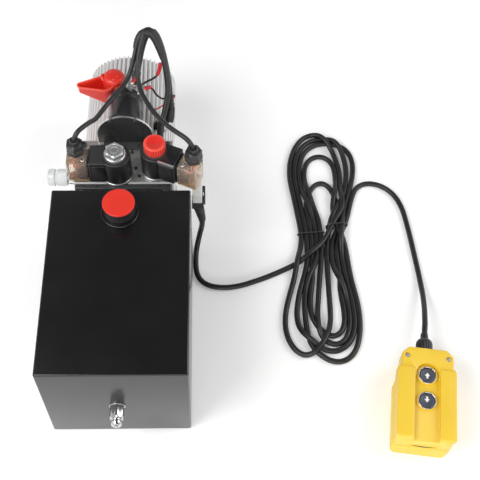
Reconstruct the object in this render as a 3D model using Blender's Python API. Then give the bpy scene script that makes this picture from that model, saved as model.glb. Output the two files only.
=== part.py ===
"""Hydraulic power unit with a wired pendant.

Row frame: X to the right, Y from the drain end of the tank to the motor, Z up.
The origin is the centre of the tank's bottom face. Everything is in metres.
"""

import math

import bmesh
import bpy
from mathutils import Matrix, Vector

# Clearances
GAP = 0.0003
RUNNING = 0.0006

# Tank
TANK_WIDTH = 0.180
TANK_LENGTH = 0.260
TANK_HEIGHT = 0.177
TANK_WALL = 0.0025
TANK_EDGE = 0.004

# Height of the line that the pump, the coupling and the motor share
AXIS_HEIGHT = 0.088

# Filler
FILLER_FROM_REAR = 0.0355
NECK_BORE = 0.0125
NECK_RADIUS = 0.0165
NECK_FLANGE_RADIUS = 0.0245
NECK_FLANGE = 0.003
NECK_HEIGHT = 0.0145
NECK_BELOW = 0.008
SEAL_THICK = 0.002
CAP_WALL = 0.003
CAP_ROOF = 0.0035
CAP_DISC = 0.0028
CAP_DISC_LIP = 0.0006

# Drain plug
DRAIN_HEIGHT = 0.084
DRAIN_SHANK = 0.0075
DRAIN_HEX = 0.0085
DRAIN_HEAD = 0.0265

# Flange between the tank and the manifold
FLANGE_RIM = 0.0145
FLANGE_PLATE = 0.008
FLANGE_LENGTH = 0.0284
HUB_WALL = 0.006
HUB_CLEARANCE = 0.0036

# Gear pump
GEAR_MODULE = 0.002
GEAR_TEETH = 10
GEAR_WIDTH = 0.016
GEAR_BACKLASH = 0.0004
PRESSURE_ANGLE = math.radians(25)
GEAR_TIP_PLAY = 0.0006
PUMP_WALL = 0.006
PUMP_BACK = 0.018
PUMP_COVER = 0.012
PUMP_SHAFT = 0.005
JOURNAL = 0.008
SUCTION_RADIUS = 0.006
PIPE_X, PIPE_SEAT = -0.010, 0.004
STRAINER_RADIUS = 0.018
STRAINER_HEIGHT = 0.022

# Manifold block
MANIFOLD_LEFT = 0.068
MANIFOLD_RIGHT = 0.066
MANIFOLD_DEPTH = 0.073
MANIFOLD_LOW = 0.026
MANIFOLD_HIGH = 0.150
CHAMBER_RADIUS = 0.021
COUPLING_RADIUS = 0.017
PORT_HEIGHT = 0.120
PORT_INSET = 0.031
PORT_RADIUS = 0.0078
PORT_DEPTH = 0.018

# Valves
VALVE_A_X, VALVE_A_INSET, VALVE_A_TURN = -0.009, 0.015, 180
VALVE_B_X, VALVE_B_INSET, VALVE_B_TURN = 0.043, 0.023, -23
VALVE_BORE = 0.0095
VALVE_DEPTH = 0.032
VALVE_FLANGE_RADIUS = 0.021
VALVE_FLANGE = 0.0037
STEM_RADIUS = 0.0075
STEM_HEIGHT = 0.052
SPOOL_RADIUS = 0.0046
SPOOL_CAVITY = 0.0050
SPOOL_TRAVEL = 0.003
COIL_RADIUS = 0.020
COIL_HEIGHT = 0.0397
COIL_SIDE = 0.016
COIL_REACH = 0.034
SOCKET_REACH = 0.064
SOCKET_SIDE = 0.0135
SOCKET_LOW = 0.005
SOCKET_HIGH = 0.040
GLAND_REACH = 0.050
GLAND_OFFSET = 0.008
GLAND_RADIUS = 0.0105
GLAND_HEIGHT = 0.024
KNOB_RADIUS = 0.0145
KNOB_HEIGHT = 0.0155
NUT_FLANGE_RADIUS = 0.014
NUT_HEX = 0.0115

# Motor, along +Y from the manifold's rear face
MOTOR_RADIUS = 0.065
FIN_DEPTH = 0.005
FIN_COUNT = 60
MOTOR_BORE = 0.055
PLATE_THICK = 0.010
HOUSING_LENGTH = 0.1217
REAR_CAP_LENGTH = 0.020
BEARING_OUTER = 0.0165
BEARING_WIDTH = 0.008
MOTOR_SHAFT = 0.008
ARMATURE_RADIUS = 0.040
COMMUTATOR_RADIUS = 0.020
MAGNET_GAP = 0.003
TERMINAL_ANGLE = math.radians(47)
TERMINAL_ALONG = 0.034
TERMINAL_RADIUS = 0.0085

# Start relay and its bracket, on the rear edge of the manifold's top face
RELAY_ABOVE_MOTOR = 0.005
BRACKET_RADIUS = 0.038
BRACKET_DROP = 0.012
BRACKET_THICK = 0.0025
BRACKET_FROM_REAR = 0.0035
BRACKET_FOOT = 0.012
BRACKET_FOOT_WIDTH = 0.060
RELAY_RADIUS = 0.022
RELAY_RIM = 0.026
RELAY_LENGTH = 0.042
RELAY_CAP = 0.012
STUD_SPREAD = 0.012
STUD_RADIUS = 0.004
STUD_END = 0.075
BOOT_TIP_RADIUS, BOOT_RADIUS = 0.0055, 0.0135
DOME_RADIUS = 0.0145
BOOT_WALL = 0.0025

# Cables
MOTOR_CABLE = 0.009
VALVE_LEAD = 0.0065
LOOM = 0.008
PENDANT_CORD = 0.008

# Pendant
PENDANT_X, PENDANT_Y, PENDANT_TURN = 0.3954, -0.1062, -7.8
PENDANT_LENGTH = 0.127
PENDANT_WIDTH = 0.076
PENDANT_HEIGHT = 0.062
PENDANT_WALL = 0.003
PENDANT_SPLIT = 0.030
CHANNEL_WIDTH = 0.033
CHANNEL_DEPTH = 0.008
HEAD_LENGTH = 0.030
HEAD_CHAMFER = 0.008
BUTTON_RADIUS = 0.0100
BUTTON_TRAVEL = 0.003
BUTTON_UP_Y, BUTTON_DOWN_Y = 0.0265, -0.009
BEZEL_RADIUS = 0.0135
BEZEL_HEIGHT = 0.0028
CORD_GLAND_RADIUS = 0.011
CORD_GLAND_LENGTH = 0.036

# Heights, lengths and centres that follow from the sizes above
TANK_REAR = TANK_LENGTH / 2
FLANGE_Y = TANK_REAR + GAP
MANIFOLD_FRONT = FLANGE_Y + FLANGE_LENGTH + GAP
MANIFOLD_REAR = MANIFOLD_FRONT + MANIFOLD_DEPTH
FILLER_Y = TANK_REAR - FILLER_FROM_REAR
PITCH_RADIUS = GEAR_MODULE * GEAR_TEETH / 2
GEAR_TIP = PITCH_RADIUS + 0.9 * GEAR_MODULE
POCKET = GEAR_TIP + GEAR_TIP_PLAY
PUMP_RADIUS = POCKET + PUMP_WALL
HUB_BORE = 2 * PITCH_RADIUS + PUMP_RADIUS + HUB_CLEARANCE
HUB_RADIUS = HUB_BORE + HUB_WALL
FLANGE_RADIUS = HUB_RADIUS + FLANGE_RIM
RELAY_HEIGHT = AXIS_HEIGHT + MOTOR_RADIUS + RELAY_ABOVE_MOTOR + RELAY_RADIUS
RELAY_Y = MANIFOLD_REAR - BRACKET_FROM_REAR + GAP

FINISHES = {
    "black_steel": ((0.010, 0.010, 0.011), 0.18, 0.0),
    "black_plastic": ((0.016, 0.016, 0.017), 0.45, 0.0),
    "black_rubber": ((0.020, 0.020, 0.021), 0.60, 0.0),
    "cord_rubber": ((0.016, 0.016, 0.017), 0.55, 0.0),
    "red_plastic": ((0.80, 0.035, 0.020), 0.35, 0.0),
    "yellow_plastic": ((0.90, 0.62, 0.030), 0.38, 0.0),
    "white_nylon": ((0.78, 0.78, 0.74), 0.50, 0.0),
    "amber_plastic": ((0.42, 0.23, 0.10), 0.20, 0.0),
    "grey_plastic": ((0.22, 0.25, 0.30), 0.45, 0.0),
    "aluminium": ((0.72, 0.73, 0.73), 0.38, 1.0),
    "zinc_steel": ((0.62, 0.62, 0.60), 0.30, 1.0),
    "chrome": ((0.55, 0.55, 0.56), 0.12, 1.0),
    "steel": ((0.45, 0.45, 0.46), 0.32, 1.0),
    "copper": ((0.72, 0.33, 0.17), 0.40, 1.0),
    "brass": ((0.75, 0.55, 0.25), 0.35, 1.0),
    "magnet": ((0.10, 0.10, 0.11), 0.60, 0.0),
}

ALONG_Y = (-math.pi / 2, 0, 0)
AGAINST_Y = (math.pi / 2, 0, 0)
AGAINST_X = (0, -math.pi / 2, 0)


# ---------------------------------------------------------------- tools


def clear_scene():
    for obj in list(bpy.data.objects):
        bpy.data.objects.remove(obj, do_unlink=True)


def finish_material(name):
    found = bpy.data.materials.get(name)
    if found:
        return found
    colour, roughness, metallic = FINISHES[name]
    made = bpy.data.materials.new(name)
    made.use_nodes = True
    shader = made.node_tree.nodes["Principled BSDF"]
    shader.inputs["Base Color"].default_value = (*colour, 1)
    shader.inputs["Roughness"].default_value = roughness
    shader.inputs["Metallic"].default_value = metallic
    made.diffuse_color = (*colour, 1)
    return made


def frame_empty(name, location, rotation=(0, 0, 0), parent=None):
    empty = bpy.data.objects.new(name, None)
    empty.empty_display_size = 0.02
    empty.location = location
    empty.rotation_euler = rotation
    empty.parent = parent
    bpy.context.scene.collection.objects.link(empty)
    return empty


def node(name, bm, finish, parent=None, location=(0, 0, 0), rotation=(0, 0, 0)):
    """One named object made from a bmesh."""
    bmesh.ops.recalc_face_normals(bm, faces=bm.faces)
    mesh = bpy.data.meshes.new(name)
    bm.to_mesh(mesh)
    bm.free()
    mesh.shade_smooth()
    mesh.set_sharp_from_angle(angle=math.radians(35))
    obj = bpy.data.objects.new(name, mesh)
    obj.data.materials.append(finish_material(finish))
    obj.location = location
    obj.rotation_euler = rotation
    obj.parent = parent
    bpy.context.scene.collection.objects.link(obj)
    return obj


def tool(target, bm, operation="DIFFERENCE"):
    """Cuts a bmesh from an object, or joins it on, in the object's own coordinates."""
    label = f"{target.name}_{operation.lower()}_{len(target.modifiers)}"
    helper = node(label, bm, "steel", target.parent, target.location, target.rotation_euler)
    helper.hide_render = True
    helper.display_type = "WIRE"
    modifier = target.modifiers.new(label, "BOOLEAN")
    modifier.operation = operation
    modifier.object = helper


def ring_points(radius, height, count, sides=0):
    """A circle, or a regular polygon with this inradius, with the same number of points."""
    points = []
    for index in range(count):
        angle = 2 * math.pi * index / count
        reach = radius
        if sides:
            sector = 2 * math.pi / sides
            reach = radius / math.cos((angle + sector / 2) % sector - sector / 2)
        points.append((reach * math.cos(angle), reach * math.sin(angle), height))
    return points


def loft(rings, bored=False):
    """Skins rings of equal point count; the ends are closed by faces, or by each other when bored."""
    bm = bmesh.new()
    rows = [[bm.verts.new(point) for point in ring] for ring in rings]
    pairs = list(zip(rows, rows[1:]))
    if bored:
        pairs.append((rows[-1], rows[0]))
    for lower, upper in pairs:
        for index in range(len(lower)):
            after = (index + 1) % len(lower)
            bm.faces.new((lower[index], lower[after], upper[after], upper[index]))
    if not bored:
        bm.faces.new(rows[0])
        bm.faces.new(rows[-1])
    return bm


def turned(profile, count=24, bored=False):
    """A body turned about Z from (radius, height) points; a third value makes that ring a polygon."""
    return loft([ring_points(p[0], p[1], count, *p[2:]) for p in profile], bored)


def prism(outline, low, high):
    return loft([[(x, y, height) for x, y in outline] for height in (low, high)])


def block(low, high, edge=0.0, segments=1):
    bm = bmesh.new()
    size = Vector(high) - Vector(low)
    centre = (Vector(high) + Vector(low)) / 2
    bmesh.ops.create_cube(bm, size=1, matrix=Matrix.Translation(centre) @ Matrix.Diagonal((*size, 1)))
    if edge:
        bmesh.ops.bevel(bm, geom=bm.edges[:], offset=edge, segments=segments, profile=0.5, affect="EDGES")
    return bm


def merged(parts):
    """Several separate bodies in one bmesh; each part is (bmesh, matrix)."""
    whole = bmesh.new()
    for part, matrix in parts:
        mesh = bpy.data.meshes.new("part")
        part.transform(matrix)
        part.to_mesh(mesh)
        part.free()
        whole.from_mesh(mesh)
        bpy.data.meshes.remove(mesh)
    return whole


def shift(x=0, y=0, z=0):
    return Matrix.Translation((x, y, z))


def arc(centre, radius, start, end, steps):
    angles = [math.radians(start + (end - start) * index / steps) for index in range(steps + 1)]
    return [(centre[0] + radius * math.cos(a), centre[1] + radius * math.sin(a)) for a in angles]


def capsule(left, left_radius, right, right_radius, steps=8):
    """The outline round two circles, the left one and the right one."""
    return arc(right, right_radius, -90, 90, steps) + arc(left, left_radius, 90, 270, steps)


def smooth_path(route, spacing):
    """Points along the Catmull-Rom curve through a route, about one spacing apart."""
    ends = [2 * route[0] - route[1]] + route + [2 * route[-1] - route[-2]]
    path = []
    for before, start, end, after in zip(ends, ends[1:], ends[2:], ends[3:]):
        steps = max(1, round((end - start).length / spacing))
        for step in range(steps):
            t = step / steps
            bend = 2 * before - 5 * start + 4 * end - after
            twist = 3 * start - before - 3 * end + after
            path.append(start + t * (end - before) / 2 + t * t * bend / 2 + t**3 * twist / 2)
    return path + [route[-1]]


def cable(name, route, diameter, finish, spacing=2.5, sides=2):
    """A tube along the smooth curve through a route of hand-set points, in millimetres."""
    points = smooth_path([Vector(point) / 1000 for point in route], spacing * diameter)
    curve = bpy.data.curves.new(name, "CURVE")
    curve.dimensions = "3D"
    curve.bevel_depth = diameter / 2
    curve.bevel_resolution = sides
    curve.use_fill_caps = True
    spline = curve.splines.new("POLY")
    spline.points.add(len(points) - 1)
    for target, point in zip(spline.points, points):
        target.co = (*point, 1)
    obj = bpy.data.objects.new(name, curve)
    obj.data.materials.append(finish_material(finish))
    bpy.context.scene.collection.objects.link(obj)
    return obj


# ---------------------------------------------------------------- tank


def build_tank():
    half, front = TANK_WIDTH / 2, -TANK_LENGTH / 2
    wall = TANK_WALL
    shell = block((-half, front, 0), (half, TANK_REAR, TANK_HEIGHT), TANK_EDGE, 2)
    tank = node("tank_shell", shell, "black_steel")
    inside = block((-half + wall, front + wall, wall), (half - wall, TANK_REAR - wall, TANK_HEIGHT - wall))
    tool(tank, inside)
    through = 2 * wall
    filler = turned([(NECK_RADIUS + RUNNING, -through), (NECK_RADIUS + RUNNING, through)])
    drain = turned([(DRAIN_SHANK + RUNNING, -through), (DRAIN_SHANK + RUNNING, through)])
    rear = turned([(HUB_BORE, -through), (HUB_BORE, through)], 32)
    turn = Matrix.Rotation(-math.pi / 2, 4, "X")
    tool(tank, merged([
        (filler, shift(0, FILLER_Y, TANK_HEIGHT)),
        (drain, shift(0, front, DRAIN_HEIGHT) @ turn),
        (rear, shift(0, TANK_REAR, AXIS_HEIGHT) @ turn),
    ]))

    rear_axis = frame_empty("tank_rear_axis", (0, TANK_REAR, AXIS_HEIGHT), ALONG_Y)
    low = FLANGE_Y - TANK_REAR
    plate, end = low + FLANGE_PLATE, low + FLANGE_LENGTH
    flange_rings = [(HUB_BORE, low), (FLANGE_RADIUS, low), (FLANGE_RADIUS, plate), (HUB_RADIUS, plate),
                    (HUB_RADIUS, end), (HUB_BORE, end)]
    node("tank_flange", turned(flange_rings, 32, True), "black_steel", rear_axis)


def build_filler():
    neck_axis = frame_empty("filler_axis", (0, FILLER_Y, TANK_HEIGHT))
    neck = [(NECK_BORE, -NECK_BELOW), (NECK_RADIUS, -NECK_BELOW), (NECK_RADIUS, GAP),
            (NECK_FLANGE_RADIUS, GAP), (NECK_FLANGE_RADIUS, NECK_FLANGE), (NECK_RADIUS, NECK_FLANGE + 0.001),
            (NECK_RADIUS, NECK_HEIGHT), (NECK_BORE, NECK_HEIGHT)]
    node("filler_neck", turned(neck, 24, True), "black_steel", neck_axis)
    seal_low = NECK_HEIGHT + GAP
    seal_high = seal_low + SEAL_THICK
    seal = [(NECK_BORE, seal_low), (NECK_RADIUS, seal_low), (NECK_RADIUS, seal_high), (NECK_BORE, seal_high)]
    node("filler_seal", turned(seal, 24, True), "black_rubber", neck_axis)
    inner = NECK_RADIUS + RUNNING
    outer = inner + CAP_WALL
    roof = seal_high + GAP
    top = roof + CAP_ROOF
    low = NECK_FLANGE + 0.001 + RUNNING
    cap = [(inner, roof), (inner, low), (outer, low), (outer, top), (outer - 0.001, top)]
    node("filler_cap", turned(cap), "black_plastic", neck_axis)
    disc = outer + CAP_DISC_LIP
    disc_low = top + GAP
    disc_high = disc_low + CAP_DISC
    disc_rings = [(disc, disc_low), (disc, disc_high - 0.0006), (disc - 0.0006, disc_high)]
    node("filler_cap_disc", turned(disc_rings, 32), "red_plastic", neck_axis)


def build_drain():
    axis = frame_empty("drain_axis", (0, -TANK_LENGTH / 2, DRAIN_HEIGHT), AGAINST_Y)
    low = GAP
    neck = low + 0.018
    end = low + DRAIN_HEAD
    plug = [(DRAIN_SHANK, -0.012), (DRAIN_SHANK, low), (DRAIN_HEX, low, 6), (DRAIN_HEX, neck, 6),
            (DRAIN_SHANK - 0.001, neck), (DRAIN_SHANK - 0.001, end - 0.001), (DRAIN_SHANK - 0.002, end),
            (0.0026, end), (0.0026, end - 0.006)]
    node("drain_plug", turned(plug), "chrome", axis)


# ---------------------------------------------------------------- pump


def involute(angle):
    return math.tan(angle) - angle


def gear_outline(turn):
    """Involute teeth with a radial flank below the base circle."""
    base = PITCH_RADIUS * math.cos(PRESSURE_ANGLE)
    root = PITCH_RADIUS - 1.25 * GEAR_MODULE
    half_tooth = (math.pi * GEAR_MODULE / 2 - GEAR_BACKLASH) / (2 * PITCH_RADIUS)
    flank = [root, base, (base + PITCH_RADIUS) / 2, PITCH_RADIUS, (PITCH_RADIUS + GEAR_TIP) / 2, GEAR_TIP]

    def half_angle(radius):
        reach = math.acos(base / max(radius, base))
        return half_tooth + involute(PRESSURE_ANGLE) - involute(reach)

    outline = []
    for tooth in range(GEAR_TEETH):
        middle = turn + 2 * math.pi * tooth / GEAR_TEETH
        rising = [(radius, middle - half_angle(radius)) for radius in flank]
        falling = [(radius, middle + half_angle(radius)) for radius in reversed(flank)]
        outline += [(r * math.cos(a), r * math.sin(a)) for r, a in rising + falling]
    return outline


def build_pump():
    """The pump hangs from the manifold's front face into the tank; its idler sits below the drive gear."""
    axis = frame_empty("pump_axis", (0, MANIFOLD_FRONT, AXIS_HEIGHT), AGAINST_Y)
    spacing = 2 * PITCH_RADIUS
    body_high = GAP + PUMP_BACK + GEAR_WIDTH + 2 * RUNNING
    floor = GAP + PUMP_BACK
    outline = arc((0, 0), PUMP_RADIUS, 0, 180, 10) + arc((0, -spacing), PUMP_RADIUS, 180, 360, 10)
    body = node("pump_body", prism(outline, GAP, body_high), "aluminium", axis)
    wheels = [shift(), shift(0, -spacing)]
    side = PUMP_SHAFT + RUNNING
    for place, low in zip(wheels, (-0.01, floor - JOURNAL - RUNNING)):
        tool(body, merged([(turned([(side, low), (side, floor + GEAR_WIDTH / 2)], 16), place)]))
    pocket = arc((0, 0), POCKET, 0, 180, 14) + arc((0, -spacing), POCKET, 180, 360, 14)
    tool(body, prism(pocket, floor, body_high + 0.01))

    cover_low = body_high + GAP
    cover_high = cover_low + PUMP_COVER
    cover = node("pump_cover", prism(outline, cover_low, cover_high), "aluminium", axis)
    journal = [(side, cover_low - 0.01), (side, cover_low + JOURNAL + RUNNING)]
    tool(cover, merged((turned(journal, 16), place) for place in wheels))
    inlet_y = -spacing / 2
    seat = SUCTION_RADIUS + RUNNING
    inlet = turned([(seat, cover_high - PIPE_SEAT), (seat, cover_high + 0.01)], 16)
    tool(cover, merged([(inlet, shift(PIPE_X, inlet_y))]))

    gear_low = floor + RUNNING
    gear_high = gear_low + GEAR_WIDTH
    teeth = math.pi / GEAR_TEETH
    shaft_end = -0.012
    gears = {
        "pump_drive_gear": (math.pi / 2, 0, shaft_end),
        "pump_idler_gear": (math.pi / 2 + teeth, -spacing, floor - JOURNAL),
    }
    for name, (turn, y, low) in gears.items():
        gear = node(name, prism(gear_outline(turn), gear_low, gear_high), "steel", axis, (0, y, 0))
        tool(gear, turned([(PUMP_SHAFT, low), (PUMP_SHAFT, cover_low + JOURNAL)], 16), "UNION")

    pipe_low = cover_high - PIPE_SEAT + GAP
    strainer_y = -(AXIS_HEIGHT - TANK_WALL - STRAINER_HEIGHT - 0.006)
    drop = pipe_low + 0.022
    bend = [(pipe_low, inlet_y), (drop - 0.010, inlet_y), (drop - 0.003, inlet_y - 0.003),
            (drop, inlet_y - 0.010), (drop, strainer_y - 0.006)]
    strainer = [(STRAINER_RADIUS, 0), (STRAINER_RADIUS, STRAINER_HEIGHT - 0.004), (0.008, STRAINER_HEIGHT)]
    suction = node("suction_strainer", elbow(bend, SUCTION_RADIUS - 0.001, PIPE_X), "zinc_steel", axis)
    place = shift(PIPE_X, strainer_y - STRAINER_HEIGHT, drop) @ Matrix.Rotation(-math.pi / 2, 4, "X")
    tool(suction, merged([(turned(strainer), place)]), "UNION")


def elbow(route, radius, x):
    """A solid pipe in the plane at x, square to its route at each (z, y) point."""
    rings = []
    for index, (z, y) in enumerate(route):
        before, after = route[max(index - 1, 0)], route[min(index + 1, len(route) - 1)]
        along = Vector((0, after[1] - before[1], after[0] - before[0])).normalized()
        across = Vector((1, 0, 0))
        up = along.cross(across)
        centre = Vector((x, y, z))
        angles = [2 * math.pi * step / 12 for step in range(12)]
        rings.append([centre + radius * (math.cos(a) * across + math.sin(a) * up) for a in angles])
    return loft(rings)


# ---------------------------------------------------------------- manifold and valves


def valve_places():
    yield "a", VALVE_A_X, MANIFOLD_FRONT + VALVE_A_INSET, VALVE_A_TURN
    yield "b", VALVE_B_X, MANIFOLD_FRONT + VALVE_B_INSET, VALVE_B_TURN


def build_manifold():
    low = (-MANIFOLD_LEFT, MANIFOLD_FRONT, MANIFOLD_LOW)
    high = (MANIFOLD_RIGHT, MANIFOLD_REAR, MANIFOLD_HIGH)
    manifold = node("manifold_block", block(low, high, 0.002), "aluminium")
    turn = Matrix.Rotation(-math.pi / 2, 4, "X")
    chamber = turned([(CHAMBER_RADIUS, -0.01), (CHAMBER_RADIUS, MANIFOLD_DEPTH + 0.01)])
    tool(manifold, merged([(chamber, shift(0, MANIFOLD_FRONT, AXIS_HEIGHT) @ turn)]))
    holes = []
    for _, x, y, _ in valve_places():
        holes.append((turned([(VALVE_BORE, -VALVE_DEPTH), (VALVE_BORE, 0.01)]), shift(x, y, MANIFOLD_HIGH)))
    for x, inset in ((0.009, 0.052), (0.015, 0.025), (0.0205, 0.012)):
        gauge = turned([(0.0024, -0.008), (0.0024, 0.01)], 10)
        holes.append((gauge, shift(x, MANIFOLD_FRONT + inset, MANIFOLD_HIGH)))
    port_y = MANIFOLD_FRONT + PORT_INSET
    port = turned([(PORT_RADIUS, -PORT_DEPTH), (PORT_RADIUS, 0.01)], 20)
    holes.append((port, shift(-MANIFOLD_LEFT, port_y, PORT_HEIGHT) @ Matrix.Rotation(-math.pi / 2, 4, "Y")))
    tool(manifold, merged(holes))

    shank = PORT_RADIUS - GAP
    plug = [(shank, -PORT_DEPTH + 0.004), (shank, GAP), (0.0095, GAP), (0.0095, 0.012), (0.012, 0.013),
            (0.012, 0.038), (0.0112, 0.039)]
    node("port_plug", turned(plug), "zinc_steel", None, (-MANIFOLD_LEFT, port_y, PORT_HEIGHT), AGAINST_X)


def coil_outline():
    """A round coil with a square shoulder that carries the plug-in connector."""
    meet = math.degrees(math.asin(COIL_SIDE / COIL_RADIUS))
    round_side = arc((0, 0), COIL_RADIUS, meet, 360 - meet, 14)
    return round_side + [(COIL_REACH, -COIL_SIDE), (COIL_REACH, COIL_SIDE)]


def build_valve(letter, x, y, turn):
    axis = frame_empty(f"valve_{letter}_axis", (x, y, MANIFOLD_HIGH), (0, 0, math.radians(turn)))
    shank = VALVE_BORE - GAP
    flange_high = GAP + VALVE_FLANGE
    foot = 0.002 - VALVE_DEPTH
    roof = STEM_HEIGHT - 0.008
    cartridge = [(SPOOL_CAVITY, roof), (SPOOL_CAVITY, foot), (shank, foot), (shank, GAP),
                 (VALVE_FLANGE_RADIUS, GAP), (VALVE_FLANGE_RADIUS, flange_high), (STEM_RADIUS, flange_high),
                 (STEM_RADIUS, STEM_HEIGHT)]
    node(f"valve_{letter}_cartridge", turned(cartridge), "zinc_steel", axis)
    spool = [(SPOOL_RADIUS, foot + 0.001), (SPOOL_RADIUS, -0.022), (0.003, -0.021), (0.003, -0.014),
             (SPOOL_RADIUS, -0.013), (SPOOL_RADIUS, roof - SPOOL_TRAVEL - 0.001)]
    node(f"valve_{letter}_spool", turned(spool, 12), "steel", axis)

    coil_low = flange_high + GAP
    coil_high = coil_low + COIL_HEIGHT
    coil = node(f"valve_{letter}_coil", prism(coil_outline(), coil_low, coil_high), "black_plastic", axis)
    bore = STEM_RADIUS + RUNNING
    tool(coil, turned([(bore, 0), (bore, coil_high + 0.01)]))
    nut_low = coil_high + GAP
    inside = STEM_HEIGHT + 0.001
    if letter == "a":
        nut = [(bore, inside), (bore, nut_low), (NUT_FLANGE_RADIUS, nut_low),
               (NUT_FLANGE_RADIUS, nut_low + 0.0025), (NUT_HEX, nut_low + 0.003, 6),
               (NUT_HEX, nut_low + 0.010, 6), (NUT_HEX - 0.0015, nut_low + 0.0115)]
        node("valve_a_nut", turned(nut), "zinc_steel", axis)
    else:
        top = nut_low + KNOB_HEIGHT
        knob = [(bore, inside), (bore, nut_low), (KNOB_RADIUS, nut_low), (KNOB_RADIUS, top - 0.001),
                (KNOB_RADIUS - 0.001, top)]
        node("valve_b_knob", turned(knob), "red_plastic", axis)

    low = (COIL_REACH + GAP, -SOCKET_SIDE, SOCKET_LOW)
    socket = block(low, (SOCKET_REACH, SOCKET_SIDE, SOCKET_HIGH), 0.0015)
    node(f"valve_{letter}_connector", socket, "amber_plastic", axis)
    side = GLAND_OFFSET * (-1 if letter == "a" else 1)
    gland_low = SOCKET_HIGH + GAP
    hexagon, barrel = GLAND_RADIUS - 0.0015, GLAND_RADIUS - 0.001
    gland = [(hexagon, gland_low, 6), (hexagon, gland_low + 0.009, 6), (barrel, gland_low + 0.009),
             (barrel, gland_low + 0.019), (0.006, gland_low + GLAND_HEIGHT)]
    node(f"valve_{letter}_gland", turned(gland), "black_plastic", axis, (GLAND_REACH, side, 0))


# ---------------------------------------------------------------- motor


def fin_outline():
    """Fins with flat crests and flat valleys round the housing."""
    outline = []
    for fin in range(FIN_COUNT):
        middle = 2 * math.pi * (fin + 0.5) / FIN_COUNT
        for radius, share in ((MOTOR_RADIUS - FIN_DEPTH, -0.30), (MOTOR_RADIUS, -0.15),
                              (MOTOR_RADIUS, 0.15), (MOTOR_RADIUS - FIN_DEPTH, 0.30)):
            angle = middle + share * 2 * math.pi / FIN_COUNT
            outline.append((radius * math.cos(angle), radius * math.sin(angle)))
    return outline


def bearing(inner, low):
    outer = BEARING_OUTER
    high = low + BEARING_WIDTH
    rings = [(inner, low), (outer, low), (outer, high), (inner, high)]
    return turned(rings, 24, True)


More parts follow.
